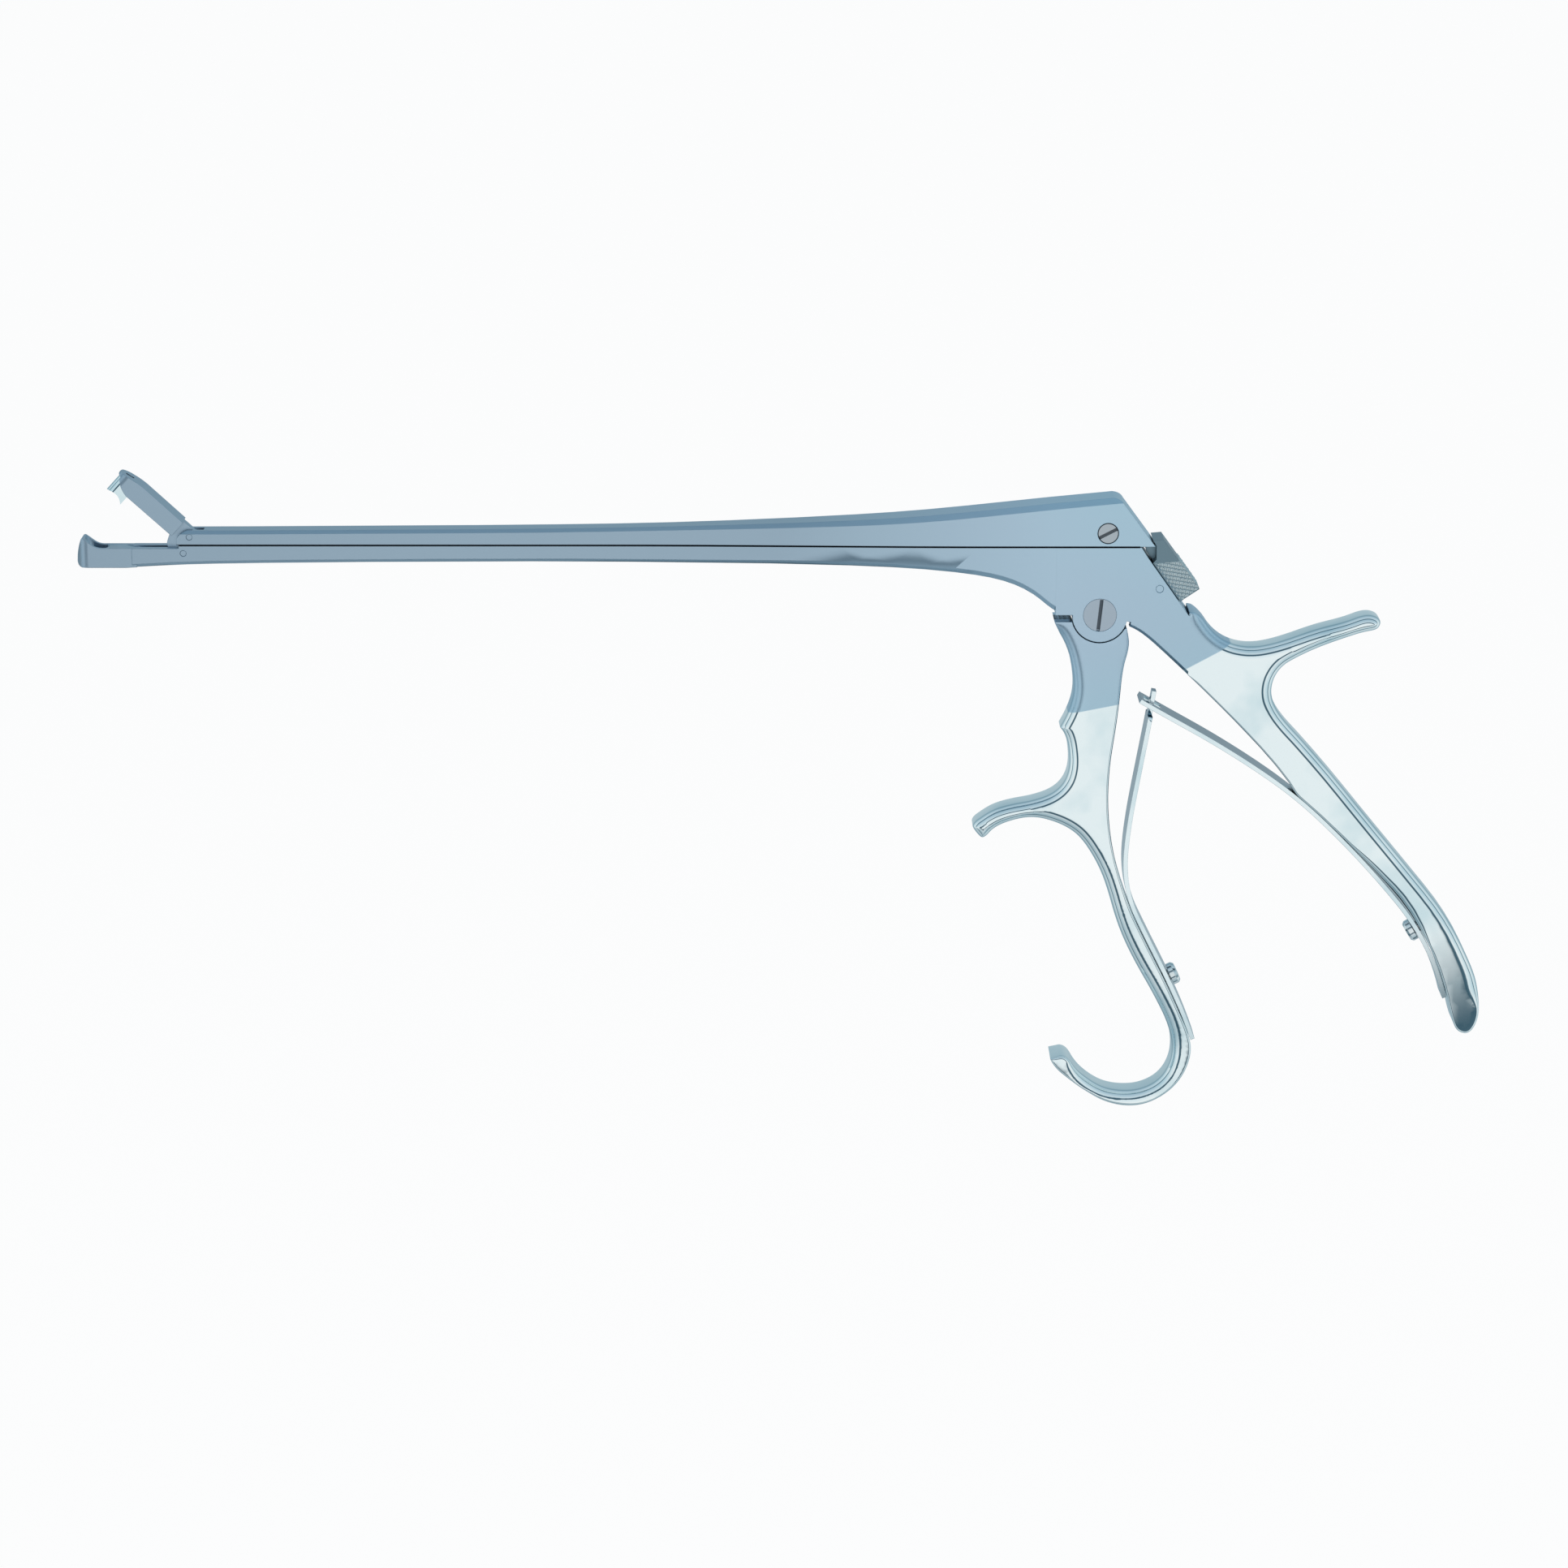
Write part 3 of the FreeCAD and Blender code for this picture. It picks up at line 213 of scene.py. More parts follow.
def lugShade(axes):   # painted shade: the lug stands in the slot of the body, where shade falls
    half, foot = finish["lug"]
    return softStep(half - axes[1].maths("ABSOLUTE"), 0.0002) * softStep(axes[2] - foot, 0.001)


# painted shade on the joint line under the bar, where the slit between bar and frame lies in shade
def seamShade(axes):
    x, z = axes[0], axes[2]
    low, high = finish["seam"]
    front, rear = finish["seamEnds"]
    between = softStep(z - low, 0.0001) * softStep(high - z, 0.0001)
    return between * softStep(rear - x, 0.0001) * softStep(x - front, 0.0001)


def frameShade(axes):   # painted shade on the joint line, and on the nose that stands in the shade of the bar's slot
    x, z = axes[0], axes[2]
    front, rear, foot, half = finish["nose"]
    nose = softStep(x - front, 0.0001) * softStep(rear - x, 0.0003)
    nose = nose * softStep(z - foot, 0.0005)
    inside = softStep(half - axes[1].maths("ABSOLUTE"), 0.00005)
    return seamShade(axes).maths("MAXIMUM", nose * inside * 0.9)


# 1 in the slot of a screw whose slot lies at an angle, where shade is painted: |x sin a - z cos a|
# under its half width
def slotOf(x, z, angle, half):
    turn = math.radians(angle)
    return softStep(half - (x * math.sin(turn) - z * math.cos(turn)).maths("ABSOLUTE"), 0.00012)


def barScrewShade(axes):   # painted shade in the slot, and the fine dark ring round the bar screw's head
    x, z = axes[0] - finish["barScrew"][0], axes[2] - finish["barScrew"][1]
    ring = softStep((x * x + z * z).maths("SQRT") - finish["barScrewRim"], 0.00008)
    return ring.maths("MAXIMUM", slotOf(x, z, finish["barSlot"][0], finish["barSlot"][1]) * 0.8)


# painted shade in the pivot screw's slot, near its centre
def pivotScrewShade(axes):
    x, z = axes[0] - finish["pivotScrew"][0], axes[2] - finish["pivotScrew"][1]
    reach = softStep(finish["pivotSlot"][2] - (x * x + z * z).maths("SQRT"), 0.0001)
    return slotOf(x, z, finish["pivotSlot"][0], finish["pivotSlot"][1]) * reach * 0.8


finishes = {
    "satin": steelMaterial("satinSteel", 0.0, 0.00012),
    "bar": steelMaterial("barSteel", 0.0, 0.00015, gap=seamShade),
    "frame": steelMaterial("frameSteel", frameHandle, 0.0002, gap=frameShade),
    "frameGrip": steelMaterial("frameGripSteel", frameHandle, None),
    "trigger": steelMaterial("triggerSteel", triggerHandle, None),
    "lug": steelMaterial("lugSteel", 0.0, 0.0001, gap=lugShade),
    "mirror": steelMaterial("mirrorSteel", 1.0, 0.00015),
    "pivotScrew": steelMaterial("pivotScrewSteel", 0.0, 0.00005, gap=pivotScrewShade,
                                tone=(0.43, 0.515, 0.595)),
    "barScrew": steelMaterial("barScrewSteel", 0.0, 0.00005, gap=barScrewShade,
                              tone=(0.46, 0.52, 0.56)),
    "leafScrew": steelMaterial("leafScrewSteel", 0.7, 0.0001, tone=(0.50, 0.53, 0.55)),
    "slide": steelMaterial("slideSteel", 0.0, 0.00012, tone=(0.175, 0.265, 0.315)),
    "knurl": steelMaterial("knurlSteel", 0.25, 0.00003, tone=(0.50, 0.57, 0.58)),
    "leaf": steelMaterial("leafSteel", 0.9, 0.00012, turnedFaceShade=(0.085, 0.165, 0.225)),
}
dressing = {
    "slide_bar": "bar", "upper_jaw": "satin",
    "jaw_pivot_pin": "satin", "jaw_drive_pin": "satin", "release_slide_pin": "satin",
    "cutter_ring": "mirror", "trigger_pivot_screw": "pivotScrew", "slide_bar_screw": "barScrew",
    "front_spring_screw": "leafScrew", "rear_spring_screw": "leafScrew", "release_slide": "slide",
}
for name, kind in dressing.items():
    mesh = nodes[name].data
    mesh.materials.clear()
    mesh.materials.append(finishes[kind])
print("steel finishes on the packed pieces")


# a merged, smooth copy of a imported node; keep picks the side of a plane that stays
def mergedCopy(node, plane=None, keep=None):
    mesh = bmesh.new()
    mesh.from_mesh(nodes[node].data)
    bmesh.ops.remove_doubles(mesh, verts=mesh.verts, dist=1e-7)
    if plane:
        whole = mesh.verts[:] + mesh.edges[:] + mesh.faces[:]
        bmesh.ops.bisect_plane(mesh, geom=whole, dist=1e-7, plane_co=plane[0],
                               plane_no=plane[1], clear_outer=keep == "front",
                               clear_inner=keep == "back")
        if keep == "back":
            rim = [edge for edge in mesh.edges if edge.is_boundary]
            bmesh.ops.holes_fill(mesh, edges=rim, sides=0)
    return mesh


def placePiece(mesh, name, material, angle, flatSides=False):
    data = bpy.data.meshes.new(name)
    mesh.to_mesh(data)
    mesh.free()
    data.shade_smooth()
    data.set_sharp_from_angle(angle=math.radians(angle))
    if flatSides:   # faces square to Y keep their own normal beside the curves
        normals = np.empty(3 * len(data.polygons), dtype=np.float32)
        data.polygons.foreach_get("normal", normals)
        data.polygons.foreach_set("use_smooth", np.abs(normals[1::3]) < 0.99995)
    data.materials.clear()
    data.materials.append(material)
    piece = bpy.data.objects.new(name, data)
    bpy.context.scene.collection.objects.link(piece)
    return piece


handles = {
    "halfWidth": 0.004498,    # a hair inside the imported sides, which lie over it at the joint
    "sliceAt": -0.003,
    "broad": 0.0026,     # radius of the roundings under the palm and the fingers
    "narrow": 0.0005,    # radius beside the springs
    "crisp": 0.0001,     # radius at the joints
    "step": 0.0003,      # spacing of the outline's points
    "strip": 6,          # rows of the first half of a rounding
    "rings": 6,          # rows of its second half
    "inner": 0.0012,     # spacing of the points on the flat
    "fine": 0.00035,     # and where the rounding of the other edge reaches past the middle
    "smoothing": 7,      # points on each side over which a radius changes
    "fadeIn": 0.0022,    # length at a cut end over which the rounding grows
    "clear": 0.0002,     # points keep this far from the straight cut
    "straight": 0.94,    # cosine of the turn past which a corner stays sharp
    "frameCut": ((-0.01732, 0, 0.0), (1, 0, 0)),
    "bodyCut": ((-0.01720, 0, 0.0), (1, 0, 0)),      # just past it, so that no gap shows
    "middleLine": (-0.0065, -0.786),      # of the rear handle: x = a + b z
    "slopeFoot": (-0.0164, 0.0175, 0.0012),          # centre and reach of the narrow place
    "pivot": (-0.0354, 0.0170, 0.0068),              # centre and reach of the crisp edges
    "shoulder": 0.0145,                   # height over which all edges are crisp
    "fingerLine": (-0.0370, -0.0250, 0.4),
    "fingerTop": 0.0140,
    "hook": (-0.0285, -0.0760, 0.0112),              # centre and reach of its inner edge
    "hookTop": -0.0765,
    "lugHalf": 0.00205,
    "lugFoot": 0.0085,
    "edgeAngle": 25.0,
    "wallAngle": 60.0,
}


# the outline of a solid in the plane y = sliceAt; a cut solid's starts and ends at the cut
def sliceOutline(mesh, plane):
    cut = bmesh.ops.bisect_plane(mesh, geom=mesh.verts[:] + mesh.edges[:] + mesh.faces[:],
                                 dist=1e-8, plane_co=(0, handles["sliceAt"], 0),
                                 plane_no=(0, 1, 0))
    beside = {}
    for edge in cut["geom_cut"]:
        if isinstance(edge, bmesh.types.BMEdge):
            one, other = edge.verts
            beside.setdefault(one, []).append(other)
            beside.setdefault(other, []).append(one)
    loops, left = [], dict.fromkeys(beside)   # in the cut's order, so each run is the same
    while left:
        loop = [left.popitem()[0]]
        onward = True
        while onward:
            onward = [v for v in beside[loop[-1]] if v in left]
            if onward:
                loop.append(onward[0])
                del left[onward[0]]
        loops.append(loop)
    longest = max(loops, key=len)
    points = np.array([(v.co.x, v.co.z) for v in longest])
    if not plane:
        return points
    normal = np.array([plane[1][0], plane[1][2]])
    onCut = np.abs((points - np.array([plane[0][0], plane[0][2]])) @ normal) < 1e-6
    first = int(np.argmax(onCut & ~np.roll(onCut, -1)))   # the last point on the straight cut
    points = np.roll(points, -first, axis=0)
    onCut = np.roll(onCut, -first)
    return points[:int(np.argmax(onCut[1:])) + 2]   # up to the first point on the cut again


# A smooth line through the points, evenly spaced: between two points a cubic whose end
# slopes are the parabola's through each point and its neighbours.
def evenLine(points, step):
    chord = np.linalg.norm(np.diff(points, axis=0), axis=1)
    keep = np.concatenate([[True], chord > 2e-5])
    points = points[keep]
    chord = np.linalg.norm(np.diff(points, axis=0), axis=1)[:, None]
    slopes = np.diff(points, axis=0) / chord
    middle = (slopes[:-1] * chord[1:] + slopes[1:] * chord[:-1]) / (chord[1:] + chord[:-1])
    turn = np.sum(slopes[:-1] * slopes[1:], axis=1)
    slope = np.vstack([slopes[:1], middle, slopes[-1:]])
    at = np.concatenate([[0.0], np.cumsum(chord[:, 0])])
    count = int(at[-1] / step)
    way = np.linspace(0, at[-1], count)
    span = np.clip(np.searchsorted(at, way, side="right") - 1, 0, len(chord) - 1)
    chordSpan = chord[span]
    t = ((way - at[span]) / chord[span, 0])[:, None]
    smooth = ((2 * t ** 3 - 3 * t ** 2 + 1) * points[span]
              + (t ** 3 - 2 * t ** 2 + t) * chordSpan * slope[span]
              + (3 * t ** 2 - 2 * t ** 3) * points[span + 1]
              + (t ** 3 - t ** 2) * chordSpan * slope[span + 1])
    straight = points[span] * (1 - t) + points[span + 1] * t
    sharp = np.concatenate([[False], turn < handles["straight"], [False]])
    corner = (sharp[span] | sharp[span + 1])[:, None]
    return np.where(corner, straight, smooth)


# how high the surface stands at a distance inside the outline: the half width h for more
# than the radius r, and h - r + sqrt(r^2 - (r - d)^2) for less
def heightAt(away, radius):
    left = radius - np.minimum(away, radius)
    return handles["halfWidth"] - radius + np.sqrt(np.maximum(radius ** 2 - left ** 2, 0))


# distance of each point to the nearest piece of the open line, with that piece's radius and
# the lowest height that any piece's rounding gives there
def lineDistance(points, line, radius):
    begin, end = line[:-1], line[1:]
    run = end - begin
    length = np.maximum(np.sum(run ** 2, axis=1), 1e-18)
    best = np.full(len(points), np.inf)
    near = np.zeros(len(points))
    height = np.zeros(len(points))
    for part in np.array_split(np.arange(len(points)), max(1, len(points) // 1500)):
        offset = points[part][:, None, :] - begin[None]
        t = np.clip(np.sum(offset * run[None], axis=2) / length, 0, 1)
        away = np.linalg.norm(offset - t[..., None] * run[None], axis=2)
        index = np.argmin(away, axis=1)
        rows = np.arange(len(part))
        best[part] = away[rows, index]
        reach = radius[:-1][None] * (1 - t) + radius[1:][None] * t
        near[part] = reach[rows, index]
        height[part] = heightAt(away, reach).min(axis=1)
    return best, near, height


def insideOf(points, line):   # crossings of a ray along X with the closed line, odd inside
    onward = np.roll(line, -1, axis=0)
    crossing = (line[None, :, 1] > points[:, 1:]) != (onward[None, :, 1] > points[:, 1:])
    rise = np.where(onward[:, 1] == line[:, 1], 1e-12, onward[:, 1] - line[:, 1])
    share = (points[:, 1:] - line[None, :, 1]) / rise[None]
    meet = line[None, :, 0] + share * (onward - line)[None, :, 0]
    return np.sum(crossing & (points[:, :1] < meet), axis=1) % 2 == 1


def gridOver(line, step):   # points at even steps over the line's box
    low, high = line.min(axis=0), line.max(axis=0)
    gridX, gridZ = np.meshgrid(np.arange(low[0], high[0], step), np.arange(low[1], high[1], step))
    return np.stack([gridX.ravel(), gridZ.ravel()], axis=1)


# Both flat sides and their rounded edges from the outline alone. Near the outline a strip
# of rows runs along it, and the rest is spread over by triangles, with rows of points where
# the rounding ends.
def roundedHandle(name, node, plane, breadth, material):
    solid = mergedCopy(node, plane, "back")
    line = sliceOutline(solid, plane)
    solid.free()
    line = evenLine(line if plane else np.vstack([line, line[:1]]), handles["step"])
    line = line if plane else line[:-1]
    if np.sum(line[:, 0] * np.roll(line[:, 1], -1) - np.roll(line[:, 0], -1) * line[:, 1]) < 0:
        line = line[::-1]
    count = len(line)
    radius = breadth(line)
    beyond = handles["smoothing"]
    kernel = np.hanning(2 * beyond + 1)
    if plane:
        ends = np.minimum(np.arange(count), np.arange(count)[::-1]) * handles["step"]
        grown = np.clip(ends / handles["fadeIn"], 0, 1)
        radius = handles["crisp"] + (radius - handles["crisp"]) * grown
        forward = np.gradient(line, axis=0)
    else:
        forward = np.roll(line, -1, axis=0) - np.roll(line, 1, axis=0)
    radius = np.pad(radius, beyond, mode="edge" if plane else "wrap")
    radius = np.convolve(radius, kernel / kernel.sum(), mode="valid")
    inward = np.stack([-forward[:, 1], forward[:, 0]], axis=1)
    inward = inward / np.linalg.norm(inward, axis=1)[:, None]
    whole = line if plane else np.vstack([line, line[:1]])
    reach = radius if plane else np.append(radius, radius[0])
    turns = np.linspace(0, math.pi / 4, handles["strip"])
    depths = radius[None] * (1 - np.cos(turns))[:, None]
    strip = line[None] + inward[None] * depths[..., None]
    stripHeight = handles["halfWidth"] - radius[None] * (1 - np.sin(turns))[:, None]
    border = strip[-1]
    clouds = []
    if plane:
        closing = border[0] - border[-1]
        steps = max(2, int(np.linalg.norm(closing) / handles["step"]))
        border = np.vstack([border, border[-1] + closing * (np.arange(1, steps) / steps)[:, None]])
    for turn in np.linspace(math.pi / 4, math.pi / 2, handles["rings"])[1:]:
        depth = radius * (1 - math.cos(turn))
        ring = line + inward * depth[:, None]
        clouds.append(ring[lineDistance(ring, whole, reach)[0] > depth - 1.5e-5])
    spread = gridOver(line, handles["inner"])
    away, near, height = lineDistance(spread, whole, reach)
    clouds.append(spread[away > near + handles["step"]])
    spread = gridOver(line, handles["fine"])
    spread = spread[insideOf(spread, border)]
    away, near, height = lineDistance(spread, whole, reach)
    clouds.append(spread[(away > near + 0.0001) & (height < handles["halfWidth"] - 1e-6)])
    cloud = np.vstack(clouds)
    cloud = cloud[insideOf(cloud, border)]
    if plane:
        aside = np.array([-closing[1], closing[0]]) / np.linalg.norm(closing)
        cloud = cloud[np.abs((cloud - border[0]) @ aside) > handles["clear"]]
    index = np.arange(len(border))
    found = delaunay_2d_cdt([Vector(p) for p in np.vstack([border, cloud]) * 1000],
                            np.stack([index, np.roll(index, -1)], axis=1).tolist(), [], 1, 1e-6)
    flat = np.array([tuple(p) for p in found[0]]) / 1000
    flatHeight = lineDistance(flat, whole, reach)[2]
    flatHeight[:count] = stripHeight[-1]
    rows = handles["strip"] - 1
    offset = rows * count
    points = np.vstack([strip[:-1].reshape(-1, 2), flat])
    height = np.concatenate([stripHeight[:-1].ravel(), flatHeight])
    along = np.arange(count - 1 if plane else count)
    onward = (along + 1) % count
    quads = np.stack([np.stack([row * count + along, row * count + onward,
                                (row + 1) * count + onward, (row + 1) * count + along], axis=1)
                      for row in range(rows)]).reshape(-1, 4)
    sheet = np.vstack([quads[:, [0, 1, 2]], quads[:, [0, 2, 3]], np.array(found[2]) + offset])
    used = np.sort(np.vstack([sheet[:, [0, 1]], sheet[:, [1, 2]], sheet[:, [2, 0]]]), axis=1)
    edges, times = np.unique(used, axis=0, return_counts=True)
    rim = edges[times == 1]
    total = len(points)
    faces = sheet.tolist() + (sheet[:, ::-1] + total).tolist()
    faces += np.stack([rim[:, 0], rim[:, 1], rim[:, 1] + total, rim[:, 0] + total], axis=1).tolist()
    nearSide = np.stack([points[:, 0], -height, points[:, 1]], axis=1)
    farSide = np.stack([points[:, 0], height, points[:, 1]], axis=1)
    data = bpy.data.meshes.new(name)
    data.from_pydata(np.vstack([nearSide, farSide]).tolist(), [], faces)
    mesh = bmesh.new()
    mesh.from_mesh(data)
    bmesh.ops.recalc_face_normals(mesh, faces=mesh.faces)
    return placePiece(mesh, name, material, handles["wallAngle"])


def easy(value, width):   # the soft step for arrays
    return np.clip(value / width + 0.5, 0, 1)


def frameBreadth(line):   # broad on the palm's side of the handle's middle line
    x, z = line[:, 0], line[:, 1]
    base, lean = handles["middleLine"]
    palm = easy(x - base - lean * z, 0.003)
    footX, footZ, reach = handles["slopeFoot"]
    foot = easy(np.hypot(x - footX, z - footZ) - reach, 0.001)
    return handles["narrow"] + palm * foot * (handles["broad"] - handles["narrow"])


def triggerBreadth(line):   # broad on the fingers' side, inside the hook, and crisp at the pivot
    x, z = line[:, 0], line[:, 1]
    hookX, hookZ, reach = handles["hook"]
    startX, startZ, lean = handles["fingerLine"]
    left = easy(startX + np.maximum(startZ - z, 0) * lean - x, 0.002)
    inside = easy(reach - np.hypot(x - hookX, z - hookZ), 0.002)
    low = easy(handles["hookTop"] - z, 0.002)
    fingers = (left * (1 - low) + inside * low) * easy(handles["fingerTop"] - z, 0.001)
    pivotX, pivotZ, near = handles["pivot"]
    joint = easy(near - np.hypot(x - pivotX, z - pivotZ), 0.001)
    joint = joint + easy(z - handles["shoulder"], 0.001)
    plain = handles["narrow"] + fingers * (handles["broad"] - handles["narrow"])
    return plain + np.clip(joint, 0, 1) * (handles["crisp"] - plain)


rearGrip = roundedHandle("rearGrip", "main_frame", handles["frameCut"], frameBreadth,
                         finishes["frameGrip"])
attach(rearGrip, "frame")
frameBody = placePiece(mergedCopy("main_frame", handles["bodyCut"], "front"), "frameBody",
                       finishes["frame"], handles["edgeAngle"], flatSides=True)
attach(frameBody, "frame")
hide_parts("main_frame")
print("frame with a rounded handle,", len(rearGrip.data.polygons), "faces")

trigger = roundedHandle("trigger", "trigger_handle", None, triggerBreadth, finishes["trigger"])
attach(trigger, "trigger")
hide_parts("trigger_handle")
lug = mergedCopy("trigger_handle")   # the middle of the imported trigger's head, between its cheeks
half, foot = handles["lugHalf"], handles["lugFoot"]
for point, normal in (((0, -half, 0), (0, -1, 0)), ((0, half, 0), (0, 1, 0)),
                      ((0, 0, foot), (0, 0, -1))):
    bmesh.ops.bisect_plane(lug, geom=lug.verts[:] + lug.edges[:] + lug.faces[:], dist=1e-7,
                           plane_co=point, plane_no=normal, clear_outer=True)
triggerLug = placePiece(lug, "triggerLug", finishes["lug"], handles["edgeAngle"], flatSides=True)
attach(triggerLug, "trigger")
print("trigger with rounded edges,", len(trigger.data.polygons), "faces")


leaf = {
    "rearStart": (0.0053, 0, -0.0221),     # where the rear leaf leaves its handle
    "rearTip": (-0.0240, 0, -0.0030),
    "frontStart": (-0.0283, 0, -0.0400),
    "frontTip": (-0.0236, 0, -0.0010),
    "edgeAngle": 30.0,
}


# a smooth copy of a packed leaf
def bentCopy(node, name, material):
    piece = placePiece(mergedCopy(node), name, material, leaf["edgeAngle"])
    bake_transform(piece)
    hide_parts(node)


bentCopy("rear_leaf_spring", "rearLeaf",
         finishes["leaf"])
bentCopy("front_leaf_spring", "frontLeaf",
         finishes["leaf"])


# a mesh from an array of points (rows, columns, 3); either way round may close
def gridMesh(name, points, closeRows, closeColumns, material):
    rows, columns = points.shape[:2]
    index = np.arange(rows * columns).reshape(rows, columns)
    if closeRows:
        index = np.vstack([index, index[:1]])
    if closeColumns:
        index = np.hstack([index, index[:, :1]])
    faces = np.stack([index[:-1, :-1], index[:-1, 1:], index[1:, 1:], index[1:, :-1]], axis=-1)
    mesh = bpy.data.meshes.new(name)
    mesh.from_pydata(points.reshape(-1, 3).tolist(), [], faces.reshape(-1, 4).tolist())
    mesh.materials.append(material)
    piece = bpy.data.objects.new(name, mesh)
    bpy.context.scene.collection.objects.link(piece)
    return piece


slope = {
    "top": (-0.0258, 0.0288),           # where the rear slope of the body starts
    "way": (0.577816, -0.816169),       # down the slope
}


# a point by its way down the slope and its height over it: top + along * way + out * normal
def onSlope(along, y, out):
    wayX, wayZ = slope["way"]
    along, y, out = np.broadcast_arrays(along, y, out)
    return np.stack([slope["top"][0] + wayX * along - wayZ * out, y,
                     slope["top"][1] + wayZ * along + wayX * out], axis=-1)


knurl = {
    "pitch": 0.00078,
    "height": 0.00022,
    "sink": 0.00004,            # the grooves lie this deep in the slide's faces
    "side": 0.00390,            # the slide's half width
    "rear": 0.00474,            # its rear face over the slope
    "inner": 0.00030,
    "start": (0.00165, 0.00415),    # the knurl's upper limit at the inner and the outer edge
    "end": 0.01127,
    "fade": 0.00012,
    "corner": 0.00006,          # half the length over which the band turns a corner
    "rows": 110,
    "columns": 190,
}


# Pyramids on a band that runs down one side of the slide, across its rear face and up the
# other side. A point is a place on that band (its girth, its way down the slope) moved
# outwards by the height of a pyramid, which is one less the larger of two zigzags across
# each other at 45 degrees.
def knurlPoints():
    side, rear, inner = knurl["side"], knurl["rear"], knurl["inner"]
    flank = rear - inner
    girth = np.linspace(0, 2 * flank + 2 * side, knurl["columns"])[None, :]
    marks = [0, flank, flank + 2 * side, 2 * flank + 2 * side]
    y = np.interp(girth, marks, [-side, -side, side, side])
    out = np.interp(girth, marks, [inner, rear, rear, inner])
    nearCorner = np.clip((girth - flank) / knurl["corner"], -1, 1)
    farCorner = np.clip((girth - flank - 2 * side) / knurl["corner"], -1, 1)
    acrossY = (nearCorner - 1) / 2 + (farCorner + 1) / 2
    acrossOut = np.sqrt(1 - acrossY ** 2)
    begin = np.interp(out, [inner, rear], knurl["start"])
    share = np.linspace(0, 1, knurl["rows"])[:, None]
    along = begin + share * (knurl["end"] - begin)
    first = (along + girth) / knurl["pitch"] / math.sqrt(2)
    second = (along - girth) / knurl["pitch"] / math.sqrt(2)
    zigzag = np.maximum(np.abs(2 * (first % 1) - 1), np.abs(2 * (second % 1) - 1))
    margin = np.minimum(np.minimum(along - begin, knurl["end"] - along),
                        np.minimum(girth, girth[0, -1] - girth)) / knurl["fade"]
    peak = knurl["height"] + knurl["sink"]
    rise = peak * (1 - zigzag) * np.clip(margin, 0, 1) - knurl["sink"]
    return onSlope(along, y + acrossY * rise, out + acrossOut * rise)


knurlBand = gridMesh("knurlBand", knurlPoints(), False, False, finishes["knurl"])
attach(knurlBand, "release_slide")
print("knurl on the release slide")


coil = {
    "ends": (0.00930, 0.01490),     # first and last turn, down the slope
    "depth": -0.0022,
    "radius": 0.0007,
    "wire": 0.00015,
    "turns": 6.5,
    "steps": 300,
    "sides": 10,
    "slack": 0.06,      # share of the way that goes on evenly, in the end turns too
}


# A wire on a helix: the angle grows steadily, the way along the axis all but stands still
# over the first and the last half turn, and a small circle is swept along it.
def coilPoints():
    share = np.linspace(0, 1, coil["steps"])[:, None]
    turn = share * coil["turns"]
    angle = 2 * math.pi * turn
    advance = np.clip((turn - 0.5) / (coil["turns"] - 1), 0, 1)
    advance = advance * (1 - coil["slack"]) + share * coil["slack"]
    around = np.linspace(0, 2 * math.pi, coil["sides"], endpoint=False)[None, :]
    reach = coil["radius"] + coil["wire"] * np.cos(around)
    start, end = coil["ends"]
    along = start + advance * (end - start) + coil["wire"] * np.sin(around)
    return onSlope(along, reach * np.sin(angle), coil["depth"] + reach * np.cos(angle))


# closes the two round ends of a swept wire
def capEnds(piece, rows, columns):
    mesh = bmesh.new()
    mesh.from_mesh(piece.data)
    mesh.verts.ensure_lookup_table()
    mesh.faces.new([mesh.verts[i] for i in range(columns)])
    mesh.faces.new([mesh.verts[(rows - 1) * columns + i] for i in range(columns)])
    bmesh.ops.recalc_face_normals(mesh, faces=mesh.faces)
    mesh.to_mesh(piece.data)
    mesh.free()
    piece.data.shade_smooth()


returnSpring = gridMesh("returnSpring", coilPoints(), False, True, finishes["mirror"])
capEnds(returnSpring, coil["steps"], coil["sides"])
fixedEnd = tuple(onSlope(coil["ends"][1], 0.0, coil["depth"]).tolist())
movingEnd = tuple(onSlope(coil["ends"][0], 0.0, coil["depth"]).tolist())
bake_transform(returnSpring)
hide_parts("release_slide_spring")
print("return spring")


view = {
    "lookAt": (-0.09939, 0.0, -0.01957),
    "elevation": 15.0,
    "distance": 1.0,
    "frameWidth": 0.322,    # metres across the picture at the object
}
camera = bpy.data.cameras.new("camera")
camera.sensor_width = 36.0
camera.lens = 36.0 * view["distance"] / view["frameWidth"]
cameraObject = bpy.data.objects.new("camera", camera)
tilt = math.radians(view["elevation"])
cameraObject.location = (view["lookAt"][0], view["lookAt"][1] - view["distance"] * math.cos(tilt),
                         view["lookAt"][2] + view["distance"] * math.sin(tilt))
cameraObject.rotation_euler = (math.radians(90) - tilt, 0, 0)
bpy.context.scene.collection.objects.link(cameraObject)
bpy.context.scene.camera = cameraObject

studio = {
    "floorHeight": -0.2,
    "floorReach": 12.0,
    "floorColour": (0.82, 0.84, 0.86),
    "paper": (0.985, 0.985, 0.985),    # what the camera sees behind the object
    "worldLevel": 0.95,
    "keyPower": 3.0,
    "fillPower": 1.5,
    "shine": (0.945, 0.945, 0.945),    # the floor as the camera sees it, before the light on it
    "faint": (0.05, 0.05, 0.05),       # the part of it that takes the object's shadow
}
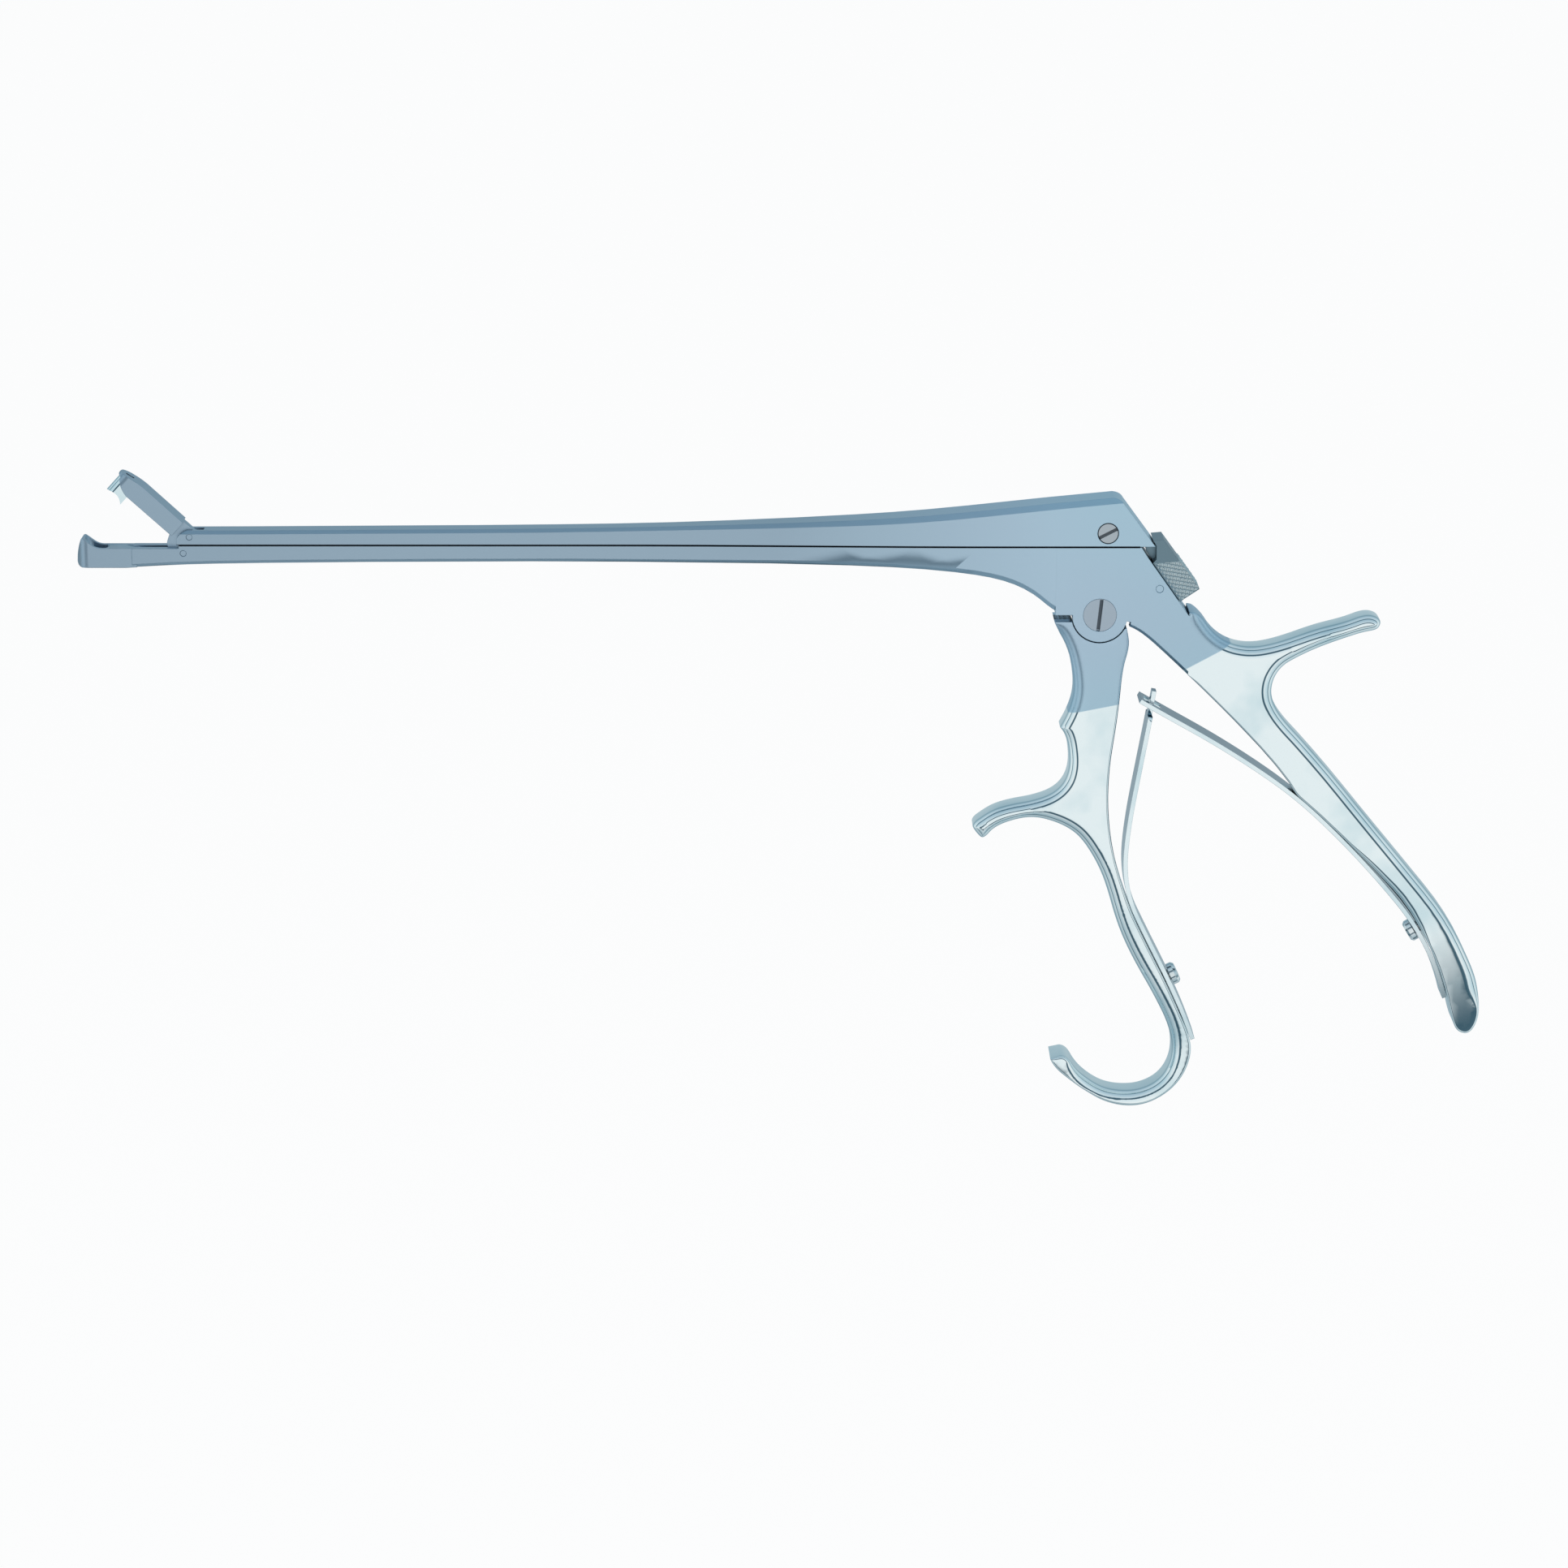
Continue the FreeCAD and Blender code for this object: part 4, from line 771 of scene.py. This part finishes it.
# the white tent by height, and by the way towards the camera's side, with two dark gaps
tentStops = [
    (0.00, (0.50, 0.57, 0.61)),
    (0.32, (0.97, 0.99, 1.00)),
    (0.52, (1.00, 1.00, 1.00)),
    (0.72, (0.84, 0.91, 0.95)),
    (1.00, (0.58, 0.68, 0.76)),
]
gapStops = [
    (0.060, (1.00, 1.00, 1.00)),
    (0.080, (0.06, 0.12, 0.16)),
    (0.135, (0.10, 0.17, 0.22)),
    (0.170, (1.00, 1.00, 1.00)),
    (0.340, (0.80, 0.88, 0.91)),
    (0.430, (0.70, 0.80, 0.85)),
    (0.460, (0.16, 0.27, 0.32)),
    (0.510, (0.18, 0.29, 0.34)),
    (0.540, (1.00, 1.00, 1.00)),
    (0.720, (0.74, 0.84, 0.88)),
    (0.860, (0.30, 0.42, 0.48)),
    (1.000, (0.52, 0.63, 0.68)),
]


def tentLight(board, direction):   # the tent's colour in a direction
    axes = board.add("ShaderNodeSeparateXYZ", {}, {0: direction})
    tent = board.add("ShaderNodeValToRGB", {"stops": tentStops}, {0: axes[2] * 0.5 + 0.5})[0]
    ring = board.add("ShaderNodeValToRGB", {"stops": gapStops}, {0: axes[1] * 0.5 + 0.5})[0]
    return blendTones(board, 1.0, tent, ring, "MULTIPLY")


def mixedShader(board, share, first, second):
    return board.add("ShaderNodeMixShader", {}, {0: share, 1: first, 2: second})[0]


world = bpy.data.worlds.new("studio")
world.use_nodes = True
bpy.context.scene.world = world
board = Board(world.node_tree)
direction = board.add("ShaderNodeTexCoord", {}, {})[0]
seen = board.add("ShaderNodeLightPath", {}, {})[0]
plain = board.add("ShaderNodeBackground", {}, {0: studio["paper"], 1: 1.0})[0]
tent = tentLight(board, direction)
lit = board.add("ShaderNodeBackground", {}, {0: tent, 1: studio["worldLevel"]})[0]
board.add("ShaderNodeOutputWorld", {}, {0: mixedShader(board, seen, lit, plain)})

floorMaterial, board = newBoard("floor")
ways = board.add("ShaderNodeLightPath", {}, {})
place = board.add("ShaderNodeNewGeometry", {}, {})[0]
away = board.add("ShaderNodeVectorMath", {"operation": "SUBTRACT"},
                 {0: place, 1: view["lookAt"]})[0]
direction = board.add("ShaderNodeVectorMath", {"operation": "NORMALIZE"}, {0: away})[0]
matte = board.add("ShaderNodeBsdfDiffuse", {}, {0: studio["floorColour"]})[0]
tent = tentLight(board, direction)
mirrored = board.add("ShaderNodeEmission", {}, {0: tent, 1: studio["worldLevel"]})[0]
faint = board.add("ShaderNodeBsdfDiffuse", {}, {0: studio["faint"]})[0]
shine = board.add("ShaderNodeEmission", {}, {0: studio["shine"], 1: 1.0})[0]
pale = board.add("ShaderNodeAddShader", {}, {0: faint, 1: shine})[0]
unseen = mixedShader(board, ways[3], matte, mirrored)
board.add("ShaderNodeOutputMaterial", {}, {0: mixedShader(board, ways[0], unseen, pale)})
floorMesh = bpy.data.meshes.new("floor")
low, far = studio["floorHeight"], studio["floorReach"]
corners = [(-far, -far, low), (far, -far, low), (far, far, low), (-far, far, low)]
floorMesh.from_pydata(corners, [], [(0, 1, 2, 3)])
floorMesh.materials.append(floorMaterial)
floorObject = bpy.data.objects.new("floor", floorMesh)
bpy.context.scene.collection.objects.link(floorObject)

lamps = [
    ("key", (-0.45, -0.9, 0.75), 0.9, studio["keyPower"]),
    ("fill", (0.5, -0.8, 0.1), 0.8, studio["fillPower"]),
]
for name, place, side, power in lamps:
    light = bpy.data.lights.new(name, "AREA")
    light.size = side
    light.energy = power
    lamp = bpy.data.objects.new(name, light)
    lamp.location = place
    lamp.visible_glossy = False
    aim = Vector(view["lookAt"]) - Vector(place)
    lamp.rotation_euler = aim.to_track_quat("-Z", "Y").to_euler()
    bpy.context.scene.collection.objects.link(lamp)
bpy.context.scene.view_settings.view_transform = "Standard"
print("camera, lamps and floor placed")
